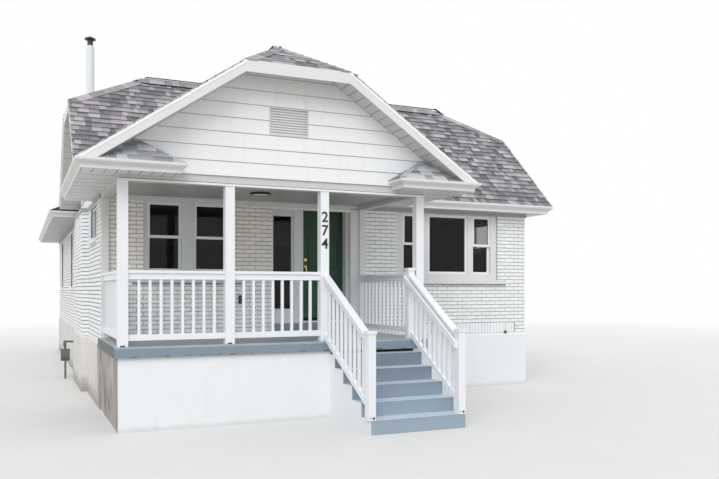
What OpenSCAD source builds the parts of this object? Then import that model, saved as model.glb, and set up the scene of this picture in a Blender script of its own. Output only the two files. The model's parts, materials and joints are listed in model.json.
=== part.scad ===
// Single-storey brick bungalow with a gabled front porch.
// Millimetres. X runs to the right along the front, Y to the back, Z up.
// The origin is at the middle of the front brick wall, on the lowest ground.

/* [House walls] */
// Width of the brick house across its front
house_w = 8334; // [8000:1:8700]
// Length of the brick house from front to back
house_l = 13600; // [13000:1:14500]
// Thickness of the brick walls with their plaster
wall_t = 280; // [240:1:320]
// Height of the brick walls above the foundation
wall_h = 2460; // [2440:1:2560]
// Height of the foundation above the lowest ground
found_h = 1060; // [1000:1:1120]
// Thickness of the foundation walls
found_t = 400; // [360:1:460]
// How far the foundation ledge stands out in front of the brick
ledge_out = 25; // [10:1:40]
// Height of the sloped top of the foundation ledge
ledge_slope_h = 30; // [10:1:50]
// Thickness of the floor between the walls
floor_t = 285; // [250:1:300]
// Thickness of the ceiling that rests on the walls
ceiling_t = 80; // [50:1:120]
// Thickness of the gable walls above the ceiling
gable_t = 150; // [100:1:200]

/* [Main roof] */
// Thickness of every roof, measured upright
roof_t = 150; // [100:1:180]
// Distance from the front brick wall to the main ridge
main_ridge_y = 2060; // [1900:1:2200]
// How far the main eave stands out in front of the brick
main_eave_out = 350; // [300:1:420]
// How far the main roof stands out past the side walls
main_rake_out = 423; // [380:1:470]
// Height of the main eave above the ground
main_eave_z = 3640; // [3620:1:3700]
// Pitch of the main roof in degrees
main_pitch = 43.7; // [42:0.1:45]
// Half of the length of the clipped edge of each main gable
main_clip_half = 710; // [500:1:900]
// Pitch of the clipped ends of the main roof in degrees
main_clip_pitch = 27.3; // [24:0.1:32]

/* [Porch roof] */
// How far the porch roof stands out past the left side of the porch
porch_left_out = 553; // [500:1:620]
// How far the porch roof stands out past the right side of the porch
porch_right_out = 752; // [700:1:800]
// Height of the porch eave above the ground
porch_eave_z = 3620; // [3600:1:3680]
// Pitch of the porch roof in degrees
porch_pitch = 34.2; // [33:0.1:35]
// How far the porch roof stands out in front of its gable wall
porch_rake_out = 400; // [340:1:460]
// Half of the length of the clipped edge of the porch gable
porch_clip_half = 790; // [600:1:950]
// Pitch of the clipped end of the porch roof in degrees
porch_clip_pitch = 29.3; // [26:0.1:34]

/* [Rear roof] */
// How far the rear roof stands out past the side walls
rear_eave_out = 613; // [540:1:690]
// Height of the rear eaves above the ground
rear_eave_z = 3610; // [3600:1:3660]
// Pitch of the rear roof in degrees
rear_pitch = 25.1; // [24:0.1:25.4]
// How far the rear roof stands out past the rear wall
rear_rake_out = 420; // [340:1:480]
// Distance from the front brick wall to the front end of the rear eaves
rear_eave_y = 4350; // [4300:1:4400]
// Half of the length of the clipped edge of the rear gable
rear_clip_half = 1700; // [1200:1:2200]
// Pitch of the clipped end of the rear roof in degrees
rear_clip_pitch = 27; // [24:0.1:32]

/* [Eaves and trim] */
// Thickness of the fascia, rake and soffit boards
board_t = 22; // [18:1:30]
// Height of the soffits above the ground
soffit_z = 3490; // [3480:1:3510]
// Upright depth of the rake boards
rake_board_h = 165; // [140:1:200]
// Length of the boxed eave returns on the porch gable
porch_return_l = 1400; // [1200:1:1500]
// Height of the small roofs over the boxed returns
return_roof_h = 360; // [300:1:380]
// How far the inner ends of the small roofs over the porch returns slope
return_hip_run = 630; // [500:1:700]
// How far the moulded eave boxes flare out from their foot to their lip
flare_w = 75; // [50:1:90]
// Height of the upright foot of the moulded eave boxes
flare_foot_h = 30; // [20:1:40]
// Height of the upright lip of the moulded eave boxes
flare_lip_h = 26; // [18:1:34]
// Distance that the boxed returns run back along the side walls
side_return_l = 1200; // [900:1:1300]
// Height of the frieze boards at the top of the brick
frieze_h = 100; // [80:1:120]
// Thickness of the frieze boards
frieze_t = 30; // [20:1:40]

/* [Porch] */
// Width of the porch over its base
porch_w = 4685; // [4600:1:4760]
// Depth of the porch from the brick to the front of its posts
porch_depth = 2300; // [2200:1:2400]
// Height of the top of the porch deck above the ground
deck_z = 1160; // [1140:1:1180]
// Thickness of the porch deck
deck_t = 150; // [120:1:170]
// How far the deck overhangs the porch base
deck_over = 50; // [30:1:80]
// Width of each square porch post
post_w = 135; // [120:1:150]
// Height of the porch posts above the deck
post_h = 2250; // [2200:1:2260]
// Distance between the middles of the first and second posts
bay_1 = 1470; // [1400:1:1540]
// Distance between the middles of the second and third posts
bay_2 = 1450; // [1340:1:1480]
// Height of the beam on the porch posts
beam_h = 140; // [120:1:160]
// Thickness of the porch gable wall
porch_gable_t = 100; // [80:1:140]
// Depth of the flat posts against the brick
pilaster_d = 70; // [50:1:90]
// Width of the flat posts against the brick
pilaster_w = 115; // [100:1:130]

/* [Steps] */
// Gap between the right end of the steps and the fourth post
steps_gap = 32; // [30:1:90]
// Distance from the porch base to the highest nosing
top_tread_d = 250; // [220:1:280]
// Depth of each tread
tread_d = 317; // [290:1:340]
// Radius of the rounded front corners of the steps
step_corner_r = 30; // [10:1:40]
// Number of treads below the deck
treads = 5; // [5:1:5]

/* [Railings] */
// Height of the porch railings above the deck
rail_h = 1040; // [950:1:1080]
// Height of the stair railings above the line of the nosings
stair_rail_h = 1050; // [980:1:1080]
// Width of the flat cap on the railings
rail_cap_w = 110; // [90:1:125]
// Thickness of the flat cap on the railings
rail_cap_t = 38; // [30:1:45]
// Width of the rails that hold the balusters
rail_w = 62; // [50:1:80]
// Height of the rails that hold the balusters
rail_t = 85; // [60:1:95]
// Gap between the deck and the bottom rails
rail_gap = 80; // [60:1:100]
// Width of each square baluster
baluster_w = 38; // [32:1:45]
// Largest distance between the middles of two balusters
baluster_space_w = 150; // [130:1:170]
// Width of the square newel posts
newel_w = 110; // [100:1:125]
// Height of the bottom newel posts above their tread
newel_h = 1150; // [1100:1:1200]
// Height of the upper newel post above the deck
upper_newel_h = 1080; // [1050:1:1150]
// Thickness of the newel caps
newel_cap_t = 40; // [30:1:50]
// How far the newel caps stand out
newel_cap_out = 14; // [8:1:20]
// Width of the lower handrail on the right of the steps
low_rail_w = 40; // [30:1:50]
// Height of the lower handrail
low_rail_t = 95; // [80:1:110]
// Height of its underside above the line of the nosings
low_rail_up = 877; // [850:1:900]
// How far the left stair railing's upper end stands right of the middle of its post
left_rail_in = 9; // [0:1:15]
// Degrees that the left stair railing turns in towards the steps
left_rail_turn = 2.8; // [0:0.1:3]

/* [Front windows] */
// Height of the sills' underside of the front windows above the ground
front_sill_z = 2050; // [2000:1:2100]
// Height of the heads of the front window openings above the ground
front_head_z = 3415; // [3400:1:3420]
// Distance from the left corner of the house to the middle of the window pair
pair_in = 1407; // [1370:1:1450]
// Width of the opening of the window pair
pair_w = 1480; // [1440:1:1540]
// How far the triple window stands right of the middle between the porch and the corner
triple_off = 4.5; // [-10:0.5:20]
// Width of the opening of the triple window
triple_w = 2300; // [2240:1:2360]
// Width of each narrow sash of the triple window
triple_side_w = 425; // [400:1:450]
// Width of the fixed middle sash of the triple window
triple_mid_w = 900; // [860:1:940]
// Width of each sash of the window pair
pair_sash_w = 570; // [540:1:590]
// Width of the wooden mullion of the window pair
pair_mullion_w = 210; // [180:1:230]
// Width of the wooden mullions of the triple window
triple_mullion_w = 125; // [100:1:150]

/* [Window parts] */
// Width of the sash frames around the glass
sash_w = 46; // [38:1:55]
// Thickness of each sash
sash_t = 40; // [32:1:45]
// Depth of the window frames in the wall
window_frame_d = 120; // [100:1:140]
// How far the window frames are set back from the face of the brick
window_set = 20; // [10:1:40]
// Thickness of the window glass
glass_t = 6; // [4:1:8]
// Height of the board between the sills and the sashes of the front windows
apron_h = 125; // [90:1:150]
// Height of the head board over the sashes of the front windows
head_board_h = 10; // [5:1:20]
// How far the sashes are set back in their frames
sash_set = 20; // [10:1:30]
// Height of the sills
sill_h = 70; // [60:1:90]
// How far the sills stand out from the brick
sill_out = 60; // [40:1:80]
// How far the sills run past the sides of their opening
sill_side = 190; // [100:1:200]

/* [Side and rear windows] */
// Width of the side and rear windows
side_window_w = 760; // [700:1:820]
// Height of the side and rear windows
side_window_h = 1400; // [1300:1:1420]
// Height of the underside of their sills above the ground
side_sill_z = 1930; // [1900:1:1990]
// Width of the small high windows near the front
piano_w = 1100; // [1000:1:1150]
// Height of the small high windows
piano_h = 640; // [600:1:660]
// Height of the underside of the sills of the small high windows
piano_sill_z = 2750; // [2700:1:2770]
// Distance from the front brick wall to the middle of the high windows
piano_y = 1250; // [1200:1:1300]
// Distance from the front brick wall to the first side window's middle
side_window_1_y = 7300; // [7100:1:7500]
// Distance from the rear brick wall's face to the second side window's middle
side_window_2_back = 1900; // [1600:1:2100]
// Distance of each rear window's middle from the house's middle
rear_window_x = 2200; // [2000:1:2400]

/* [Chimney breast] */
// Distance from the front brick wall to the chimney breast
breast_y = 2400; // [2300:1:2500]
// Length of the chimney breast along the wall
breast_l = 2200; // [2000:1:2300]
// How far the chimney breast stands out from the wall
breast_out = 110; // [90:1:140]
// Diameter of the metal flue
flue_d = 170; // [150:1:200]
// Height of the top of the flue above the ground
flue_top_z = 7400; // [7000:1:7600]
// Distance from the left wall's face to the middle of the flue
flue_in = 187; // [150:1:300]
// Distance from the rear end of the main gable walls to the middle of the flue
flue_back = 230; // [150:1:300]
// Height of the open neck under the flue's cap
flue_neck_h = 140; // [100:1:180]
// Height of the cone on the flue's cap
flue_cone_h = 60; // [40:1:80]
// How far the flue's cap stands out past the flue
flue_cap_out = 30; // [20:1:45]

/* [Front door] */
// Width of the door leaf
door_w = 813; // [780:1:830]
// Height of the door leaf
door_h = 2032; // [2000:1:2040]
// Thickness of the door leaf
door_t = 45; // [38:1:50]
// Distance from the right side of the porch to the hinge side of the leaf
door_in = 333; // [325:1:345]
// Gap around the door leaf
door_gap = 5; // [5:1:6]
// Width of the sidelight glass
sidelight_w = 381; // [350:1:390]
// Width of the post between the door and the sidelight
door_post_w = 177; // [160:1:190]
// Width of the frame boards around the door and the sidelight
jamb_w = 40; // [35:1:45]
// Depth of the door frame in the wall
jamb_d = 200; // [150:1:210]
// How far the boards beside the door stand in front of its face
door_set = 35; // [30:1:50]
// Width of the stop that the door closes against
stop_w = 14; // [12:1:18]
// Radius of the hinge pins
hinge_pin_r = 6; // [5:0.5:7]
// Radius of the hinge knuckles
hinge_knuckle_r = 11; // [10:0.5:13]
// Depth of the raised step in front of the door
entry_step_d = 300; // [250:1:350]
// Height of the threshold under the door leaf
threshold_h = 25; // [20:1:35]
// Height of the panel under the sidelight glass
sidelight_panel_h = 245; // [200:1:300]
// Height of the board over the sidelight glass
sidelight_head_h = 145; // [120:1:180]
// How far the sidelight glass stands in front of the face of the door
sidelight_set = 20; // [10:1:24]
// Thickness of the raised moulding on the post beside the door
door_post_t = 24; // [15:1:30]
// Height of the door handle above the leaf's lower edge
handle_z = 870; // [820:1:950]
// Distance from the edge of the leaf to the middle of the handle
handle_in = 62; // [55:1:90]

/* [Fittings] */
// Width of the louvred vent in the porch gable
vent_w = 600; // [500:1:700]
// Height of the louvred vent
vent_h = 400; // [340:1:460]
// Height of the vent's lower edge above the ground
vent_z = 4190; // [4150:1:4230]
// Distance of the vent's middle to the left of the porch ridge
vent_left = 30; // [0:1:60]
// How far the vent stands out from its wall
vent_out = 30; // [24:1:45]
// Width of the vent's frame
vent_frame_w = 12; // [8:1:20]
// Number of louvres in the vent
louvres = 10; // [6:1:12]
// Thickness of each louvre
louvre_t = 8; // [5:1:12]
// Diameter of the porch light
light_d = 330; // [280:1:380]
// Height of the porch light
light_h = 35; // [25:1:45]
// Distance from the left side of the porch to the middle of the light
light_x = 2332; // [2000:1:2500]
// Distance from the front brick wall to the middle of the light
light_y = 1150; // [1000:1:1300]
// Width and height of the gas meter's body
meter_w = 260; // [200:1:320]
// Depth of the gas meter's body
meter_d = 180; // [140:1:220]
// Height of the gas meter's underside above the ground
meter_z = 380; // [300:1:450]
// Diameter of the gas meter's pipes
meter_pipe_d = 42; // [30:1:55]

/* [Hidden] */

// Small distance by which a cutting shape passes the face it cuts
cut = 10;
// Clearance between a hinge pin and its knuckle
pin_gap = 0.3;
// Gap between the small return roofs and the roof over them
return_gap = 1;
// Number of flats that make up the curve of the moulded eave boxes
flare_steps = 6;

half_w = house_w / 2;
wall_top = found_h + wall_h;
floor_top = found_h + floor_t;
ceiling_top = wall_top + ceiling_t;
brick_in_x = half_w - wall_t;
brick_in_l = house_l - wall_t;

main_half = main_ridge_y + main_eave_out;
main_slope = tan(main_pitch);
main_clip_slope = tan(main_clip_pitch);
main_rake_x = half_w + main_rake_out;

porch_slope = tan(porch_pitch);
porch_clip_slope = tan(porch_clip_pitch);
porch_rake_y = -(porch_depth + porch_rake_out);
porch_left = -half_w;
porch_right = porch_left + porch_w;
porch_eave_left = porch_left - porch_left_out;
porch_eave_right = porch_right + porch_right_out;
porch_roof_x = -(porch_eave_left + porch_eave_right) / 2;
porch_roof_half = (porch_eave_right - porch_eave_left) / 2;

rear_roof_half = half_w + rear_eave_out;
rear_slope = tan(rear_pitch);
rear_clip_slope = tan(rear_clip_pitch);
rear_end = house_l + rear_rake_out;

post_x = [
    porch_left + post_w / 2,
    porch_left + post_w / 2 + bay_1,
    porch_left + post_w / 2 + bay_1 + bay_2,
    porch_right - post_w / 2
];
post_y = -porch_depth + post_w / 2;
post_top = deck_z + post_h;
beam_top = post_top + beam_h;

riser = deck_z / (treads + 1);
steps_left = post_x[2] + post_w / 2;
steps_right = post_x[3] - post_w / 2 - steps_gap;
nosing_slope = riser / tread_d;

door_x = porch_right - door_in;
hinge_x = door_x + door_gap / 2;
door_left = door_x - door_w;
door_bottom = floor_top + threshold_h;
door_top = door_bottom + door_h;
door_in_y = wall_t;
door_out_y = door_in_y - door_t;
entry_right = door_x + door_gap + jamb_w;
entry_left = door_left - door_gap - door_post_w - sidelight_w - 2 * jamb_w;
entry_top = front_head_z;

pair_x = half_w - pair_in;
triple_x = (porch_right + half_w) / 2 + triple_off;
side_window_2_y = house_l - side_window_2_back;
flue_y = 2 * main_ridge_y + flue_back;

// Extrudes an outline of X and Z points along Y
module along_y(y0, y1) {
    translate([0, y1, 0]) rotate([90, 0, 0]) linear_extrude(y1 - y0) children();
}

// Extrudes an outline of Y and Z points along X
module along_x(x0, x1) {
    translate([x0, 0, 0]) rotate([90, 0, 90]) linear_extrude(x1 - x0) children();
}

// Box between two corners
module block(low, high) {
    translate(low) cube(high - low);
}

// Outline of a gable roof from its eaves up, lowered by drop and widened by grow
function gable_outline(half, eave_z, slope, low_z, drop, grow) = [
    [-half - grow, low_z],
    [-half - grow, eave_z - drop - grow * slope],
    [0, eave_z - drop + half * slope],
    [half + grow, eave_z - drop - grow * slope],
    [half + grow, low_z]
];

// Main roof's volume from the soffit up, lowered by drop
module main_volume(drop, grow) {
    ridge = main_eave_z + main_half * main_slope - drop;
    clip_z = ridge - main_clip_half * main_slope;
    clip_run = (ridge - clip_z) / main_clip_slope;
    end = main_rake_x + grow;
    end_z = clip_z - grow * main_clip_slope;
    intersection() {
        along_x(-end, end) translate([main_ridge_y, 0])
            polygon(gable_outline(main_half, main_eave_z, main_slope, soffit_z - drop, drop, grow));
        along_y(-main_eave_out - 2 * grow - cut, main_ridge_y + main_half + 2 * grow + cut)
            polygon([
                [-end, soffit_z - drop - cut], [-end, end_z],
                [-main_rake_x + clip_run, ridge], [main_rake_x - clip_run, ridge],
                [end, end_z], [end, soffit_z - drop - cut]
            ]);
    }
}

// Porch roof's volume from the soffit up to behind the main ridge, lowered by drop
module porch_volume(drop, grow) {
    ridge = porch_eave_z + porch_roof_half * porch_slope - drop;
    clip_z = ridge - porch_clip_half * porch_slope;
    clip_run = (ridge - clip_z) / porch_clip_slope;
    front = porch_rake_y - grow;
    back = main_ridge_y;
    intersection() {
        translate([-porch_roof_x, 0, 0]) along_y(front, back)
            polygon(gable_outline(porch_roof_half, porch_eave_z, porch_slope,
                soffit_z - drop, drop, grow));
        along_x(porch_eave_left - 2 * grow - cut, porch_eave_right + 2 * grow + cut)
            polygon([
                [front, soffit_z - drop - cut], [front, clip_z - grow * porch_clip_slope],
                [porch_rake_y + clip_run, ridge], [back, ridge], [back, soffit_z - drop - cut]
            ]);
    }
}

// Rear roof's volume from the soffit up, lowered by drop
module rear_volume(drop, grow) {
    ridge = rear_eave_z + rear_roof_half * rear_slope - drop;
    clip_z = ridge - rear_clip_half * rear_slope;
    clip_run = (ridge - clip_z) / rear_clip_slope;
    back = rear_end + grow;
    front = main_ridge_y;
    intersection() {
        along_y(front, back)
            polygon(gable_outline(rear_roof_half, rear_eave_z, rear_slope,
                soffit_z - drop, drop, grow));
        along_x(-rear_roof_half - 2 * grow - cut, rear_roof_half + 2 * grow + cut)
            polygon([
                [front, soffit_z - drop - cut], [front, ridge],
                [rear_end - clip_run, ridge], [back, clip_z - grow * rear_clip_slope],
                [back, soffit_z - drop - cut]
            ]);
        union() {
            block([-main_rake_x, front, 0], [main_rake_x, back, ridge + cut]);
            block([-rear_roof_half - 2 * cut - grow, rear_eave_y, 0],
                [rear_roof_half + 2 * cut + grow, back, ridge + cut]);
        }
    }
}

// Upper part of the space, above the height z
module above(z) {
    block([-2 * house_w, -2 * house_w, z], [2 * house_w, 2 * house_l, 3 * house_w]);
}

// Wall running along X with an upright face at y0
module wall_along_x(x0, x1, y0, z0, z1) {
    block([x0, y0, z0], [x1, y0 + wall_t, z1]);
}

// Foundation wall outline with its sloped ledge, as out and up
function ledge_outline() = [
    [found_t, 0], [-ledge_out, 0], [-ledge_out, found_h - ledge_slope_h],
    [0, found_h], [found_t, found_h]
];

module foundation_front() {
    color("whitesmoke") {
        intersection() {
            along_x(-half_w - ledge_out, half_w + ledge_out) polygon(ledge_outline());
            along_y(-cut - ledge_out, found_t + cut) polygon([
                [-half_w - ledge_out, 0], [-half_w - ledge_out, found_h - ledge_slope_h],
                [-half_w, found_h], [half_w, found_h],
                [half_w + ledge_out, found_h - ledge_slope_h], [half_w + ledge_out, 0]
            ]);
        }
        block([entry_left, 0, found_h], [entry_right, wall_t, floor_top]);
    }
}

module foundation_rear() {
    color("gray") translate([0, house_l, 0]) mirror([0, 1, 0]) intersection() {
        along_x(-half_w - ledge_out, half_w + ledge_out) polygon(ledge_outline());
        along_y(-cut - ledge_out, found_t + cut) polygon([
            [-half_w - ledge_out, 0], [-half_w - ledge_out, found_h - ledge_slope_h],
            [-half_w, found_h], [half_w, found_h],
            [half_w + ledge_out, found_h - ledge_slope_h], [half_w + ledge_out, 0]
        ]);
    }
}

module foundation_left() {
    color("gray") translate([-half_w, 0, 0]) along_y(found_t, house_l - found_t)
        polygon(ledge_outline());
}

module foundation_right() {
    mirror([1, 0, 0]) foundation_left();
}

module house_floor() {
    color("burlywood") block([-brick_in_x, wall_t, found_h], [brick_in_x, brick_in_l, floor_top]);
}

module house_ceiling() {
    color("white") block([-half_w, 0, wall_top], [half_w, house_l, ceiling_top]);
}

// Opening through a wall along X, from the sill to the head
module opening_x(x, w, y0, z0, z1) {
    block([x - w / 2, y0 - cut, z0], [x + w / 2, y0 + wall_t + cut, z1]);
}

module front_wall_left() {
    color("ivory") difference() {
        wall_along_x(-half_w, entry_left, 0, found_h, wall_top);
        opening_x(-pair_x, pair_w, 0, front_sill_z, front_head_z);
    }
}

module front_wall_right() {
    color("ivory") difference() {
        wall_along_x(entry_right, half_w, 0, found_h, wall_top);
        opening_x(triple_x, triple_w, 0, front_sill_z, front_head_z);
    }
}

module front_wall_over_door() {
    color("ivory") wall_along_x(entry_left, entry_right, 0, entry_top, wall_top);
}

// Side wall on the left with its windows cut through
module left_wall() {
    color("ivory") difference() {
        block([-half_w, wall_t, found_h], [-brick_in_x, brick_in_l, wall_top]);
        side_openings();
    }
}

module right_wall() {
    mirror([1, 0, 0]) left_wall();
}

// Holes for the windows of the left wall
module side_openings() {
    side_hole(piano_y, piano_w, piano_sill_z, piano_h);
    for (y = [side_window_1_y, side_window_2_y])
        side_hole(y, side_window_w, side_sill_z, side_window_h);
}

module side_hole(y, w, z, h) {
    block([-half_w - cut, y - w / 2, z], [-brick_in_x + cut, y + w / 2, z + h]);
}

module rear_wall() {
    color("ivory") difference() {
        wall_along_x(-half_w, half_w, brick_in_l, found_h, wall_top);
        for (x = [-rear_window_x, rear_window_x])
            block([x - side_window_w / 2, brick_in_l - cut, side_sill_z],
                [x + side_window_w / 2, house_l + cut, side_sill_z + side_window_h]);
    }
}

module chimney_base() {
    color("gray") translate([0, breast_y, 0]) intersection() {
        translate([-half_w - breast_out, 0, 0]) along_y(-ledge_out, breast_l + ledge_out)
            polygon([
                [-ledge_out, 0], [-ledge_out, found_h - ledge_slope_h], [0, found_h],
                [breast_out, found_h], [breast_out - ledge_out, found_h - ledge_slope_h],
                [breast_out - ledge_out, 0]
            ]);
        along_x(-half_w - breast_out - ledge_out, -half_w) polygon([
            [-ledge_out, 0], [-ledge_out, found_h - ledge_slope_h], [0, found_h],
            [breast_l, found_h], [breast_l + ledge_out, found_h - ledge_slope_h],
            [breast_l + ledge_out, 0]
        ]);
    }
}

module chimney_breast() {
    color("ivory") block([-half_w - breast_out, breast_y, found_h],
        [-half_w, breast_y + breast_l, wall_top - frieze_h]);
}

module main_gable_left() {
    color("white") intersection() {
        block([-half_w, 0, ceiling_top], [-half_w + gable_t, 2 * main_ridge_y, 3 * house_w]);
        main_volume(roof_t, cut);
    }
}

module main_gable_right() {
    mirror([1, 0, 0]) main_gable_left();
}

module rear_gable() {
    color("white") intersection() {
        block([-half_w, house_l - gable_t, ceiling_top], [half_w, house_l, 3 * house_w]);
        rear_volume(roof_t, cut);
    }
}

module porch_gable() {
    color("white") intersection() {
        block([porch_left, -porch_depth, beam_top],
            [porch_right, -porch_depth + porch_gable_t, 3 * house_w]);
        porch_volume(roof_t, cut);
    }
}

// Main roof's covering above its eaves, between its rake boards
module main_shell() {
    intersection() {
        difference() {
            main_volume(0, 0);
            main_volume(roof_t, cut);
        }
        block([-main_rake_x + board_t, -2 * house_w, main_eave_z],
            [main_rake_x - board_t, 2 * house_l, 3 * house_w]);
    }
}

module main_roof() {
    color("dimgray") difference() {
        main_shell();
        flue_tube(pin_gap);
    }
}

module porch_roof() {
    color("dimgray") intersection() {
        difference() {
            porch_volume(0, 0);
            porch_volume(roof_t, cut);
            main_volume(0, 0);
            // The eave box of the main roof
            block([porch_right, -main_eave_out - board_t, 0],
                [porch_eave_right + cut, -main_eave_out, main_eave_z]);
            // The open side of the main gable behind the boxed return
            block([porch_eave_left - cut, side_return_l, 0],
                [-main_rake_x, main_ridge_y + cut, 3 * house_w]);
        }
        above(porch_eave_z);
    }
}

module rear_roof() {
    color("dimgray") intersection() {
        difference() {
            rear_volume(0, 0);
            rear_volume(roof_t, cut);
            main_volume(0, 0);
            flue_tube(pin_gap);
        }
        above(rear_eave_z);
    }
}

// Small hipped roof over one boxed return of the porch gable, on the left
module porch_return_roof(x0) {
    x1 = x0 + porch_return_l;
    top = porch_eave_z + return_roof_h;
    intersection() {
        along_x(x0, x1) polygon([
            [porch_rake_y, porch_eave_z], [-porch_depth, porch_eave_z], [-porch_depth, top]
        ]);
        along_y(porch_rake_y, -porch_depth) polygon([
            [x0, porch_eave_z], [x0, top], [x1 - return_hip_run, top], [x1, porch_eave_z]
        ]);
        porch_volume(roof_t + return_gap, 0);
    }
}

// Sloped strip over a boxed return that runs back along a side wall
module side_return_roof() {
    outer = main_rake_x - board_t;
    intersection() {
        along_y(-main_eave_out, side_return_l) polygon([
            [outer, main_eave_z], [half_w, main_eave_z], [half_w, main_eave_z + return_roof_h]
        ]);
        along_x(half_w, outer) polygon([
            [-main_eave_out, main_eave_z], [-main_eave_out, main_eave_z + return_roof_h],
            [side_return_l - return_roof_h, main_eave_z + return_roof_h], [side_return_l, main_eave_z]
        ]);
        main_volume(roof_t + return_gap, 0);
    }
}

module return_roofs() {
    color("dimgray") {
        porch_return_roof(porch_eave_left);
        translate([-2 * porch_roof_x, 0, 0]) mirror([1, 0, 0]) porch_return_roof(porch_eave_left);
        for (m = [0, 1]) mirror([m, 0, 0]) side_return_roof();
    }
}

// Board that follows the clipped gable of the main roof, on the left
module main_rake_board() {
    intersection() {
        difference() {
            main_volume(0, 0);
            translate([0, 0, -rake_board_h]) main_volume(0, cut);
        }
        block([-main_rake_x, -2 * house_w, main_eave_z],
            [-main_rake_x + board_t, 2 * house_w, 3 * house_w]);
    }
}

module main_eaves() {
    color("whitesmoke") {
        main_front_eave();
        // Return that runs back along the right wall
        eave_box(half_w, main_rake_x + board_t, -main_eave_out - board_t, side_return_l,
            main_eave_z, right = true, front = true);
        for (m = [0, 1]) mirror([m, 0, 0]) main_rake_board();
    }
}

// Points of a list in the opposite order
function reversed(list) = [for (i = [len(list) - 1 : -1 : 0]) list[i]];

// Flared side of an eave box from its foot up, with its lip at the coordinate lip
function flared(lip, out, top_z) = let (foot = lip - out * flare_w) concat(
    [[foot, soffit_z]],
    [for (i = [0 : flare_steps]) let (t = i / flare_steps) [
        foot + out * flare_w * (1 - cos(180 * t)) / 2,
        soffit_z + flare_foot_h + t * (top_z - soffit_z - flare_foot_h - flare_lip_h)
    ]],
    [[lip, top_z]]);

// Section of an eave box between two coordinates, each side flared or upright
function eave_outline(a, b, top_z, flare_a, flare_b) = concat(
    flare_b ? flared(b, 1, top_z) : [[b, soffit_z], [b, top_z]],
    reversed(flare_a ? flared(a, -1, top_z) : [[a, soffit_z], [a, top_z]]));

// Moulded eave box whose chosen sides flare out to their lip and meet in mitres
module eave_box(x0, x1, y0, y1, top_z, left = false, right = false, front = false) {
    intersection() {
        along_x(x0, x1) polygon(eave_outline(y0, y1, top_z, front, false));
        along_y(y0, y1) polygon(eave_outline(x0, x1, top_z, left, right));
    }
}

// Eave box across the front of the right wing
module main_front_eave() {
    eave_box(porch_right, main_rake_x + board_t, -main_eave_out - board_t, 0, main_eave_z,
        right = true, front = true);
}

module porch_eaves() {
    lip_left = porch_eave_left - board_t;
    lip_right = porch_eave_right + board_t;
    lip_front = porch_rake_y - flare_w;
    color("whitesmoke") {
        // Rake boards in front of the roof's edge
        translate([0, -board_t, 0]) intersection() {
            difference() {
                porch_volume(0, 0);
                translate([0, 0, -rake_board_h]) porch_volume(0, cut);
            }
            block([-2 * house_w, porch_rake_y, porch_eave_z],
                [2 * house_w, porch_rake_y + board_t, 3 * house_w]);
        }
        // Boxed returns across the front
        eave_box(lip_left, porch_eave_left + porch_return_l, lip_front, -porch_depth,
            porch_eave_z, left = true, right = true, front = true);
        eave_box(porch_eave_right - porch_return_l, lip_right, lip_front, -porch_depth,
            porch_eave_z, left = true, right = true, front = true);
        // Side eaves, the right one fitted to the main eave
        eave_box(lip_left, porch_left, -porch_depth, side_return_l, porch_eave_z, left = true);
        difference() {
            eave_box(porch_right, lip_right, -porch_depth, -main_eave_out - board_t + flare_w,
                porch_eave_z, right = true);
            main_front_eave();
        }
    }
}

module rear_eaves() {
    color("whitesmoke") {
        for (m = [0, 1]) mirror([m, 0, 0])
            eave_box(half_w, rear_roof_half + board_t, rear_eave_y - board_t, rear_end + board_t,
                rear_eave_z, right = true, front = true);
        translate([0, board_t, 0]) intersection() {
            difference() {
                rear_volume(0, 0);
                translate([0, 0, -rake_board_h]) rear_volume(0, cut);
            }
            block([-2 * house_w, rear_end - board_t, rear_eave_z],
                [2 * house_w, rear_end, 3 * house_w]);
        }
    }
}

module frieze_boards() {
    z0 = wall_top - frieze_h;
    color("lightgray") {
        block([porch_right, -frieze_t, z0], [half_w + frieze_t, 0, soffit_z]);
        block([half_w, 0, z0], [half_w + frieze_t, house_l, soffit_z]);
        block([-half_w - frieze_t, 0, z0], [-half_w, breast_y - frieze_t, soffit_z]);
        block([-half_w - breast_out - frieze_t, breast_y - frieze_t, z0],
            [-half_w, breast_y + breast_l + frieze_t, soffit_z]);
        block([-half_w - frieze_t, breast_y + breast_l + frieze_t, z0],
            [-half_w, house_l, soffit_z]);
        block([-half_w - frieze_t, house_l, z0], [half_w + frieze_t, house_l + frieze_t, soffit_z]);
    }
}

module porch_base() {
    color("whitesmoke") block([porch_left, -porch_depth, 0],
        [porch_right, -ledge_out, deck_z - deck_t]);
}

module porch_deck() {
    color("lightslategray") block([porch_left - deck_over, -porch_depth - deck_over, deck_z - deck_t],
        [porch_right + deck_over, -ledge_out, deck_z]);
}

// Distance of the nosing of tread k from the porch base, counted down from the deck
function nosing(k) = top_tread_d + k * tread_d;

// Plan of a step whose front is at y, with rounded front corners
module step_plan(y) {
    r = step_corner_r;
    w = steps_right - steps_left;
    translate([steps_left, y + r]) square([w, -porch_depth - y - r]);
    translate([steps_left + r, y]) square([w - 2 * r, r + cut]);
    for (x = [steps_left + r, steps_right - r])
        translate([x, y + r]) circle(r = r, $fn = 32);
}

module front_steps() {
    color("slategray") for (k = [0 : treads - 1])
        linear_extrude((treads - k) * riser) step_plan(-porch_depth - nosing(k));
}

module entry_step() {
    color("lightslategray") block([entry_left, -entry_step_d, deck_z], [entry_right, 0, floor_top]);
}

module post(i) {
    color("whitesmoke") translate([post_x[i] - post_w / 2, -porch_depth, deck_z])
        cube([post_w, post_w, post_h]);
}

module post_1() { post(0); }
module post_2() { post(1); }
module post_3() { post(2); }
module post_4() { post(3); }

module porch_pilasters() {
    color("lightgray") for (x = [porch_left, porch_right - pilaster_w])
        block([x, -pilaster_d, deck_z], [x + pilaster_w, 0, post_top]);
}

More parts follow.
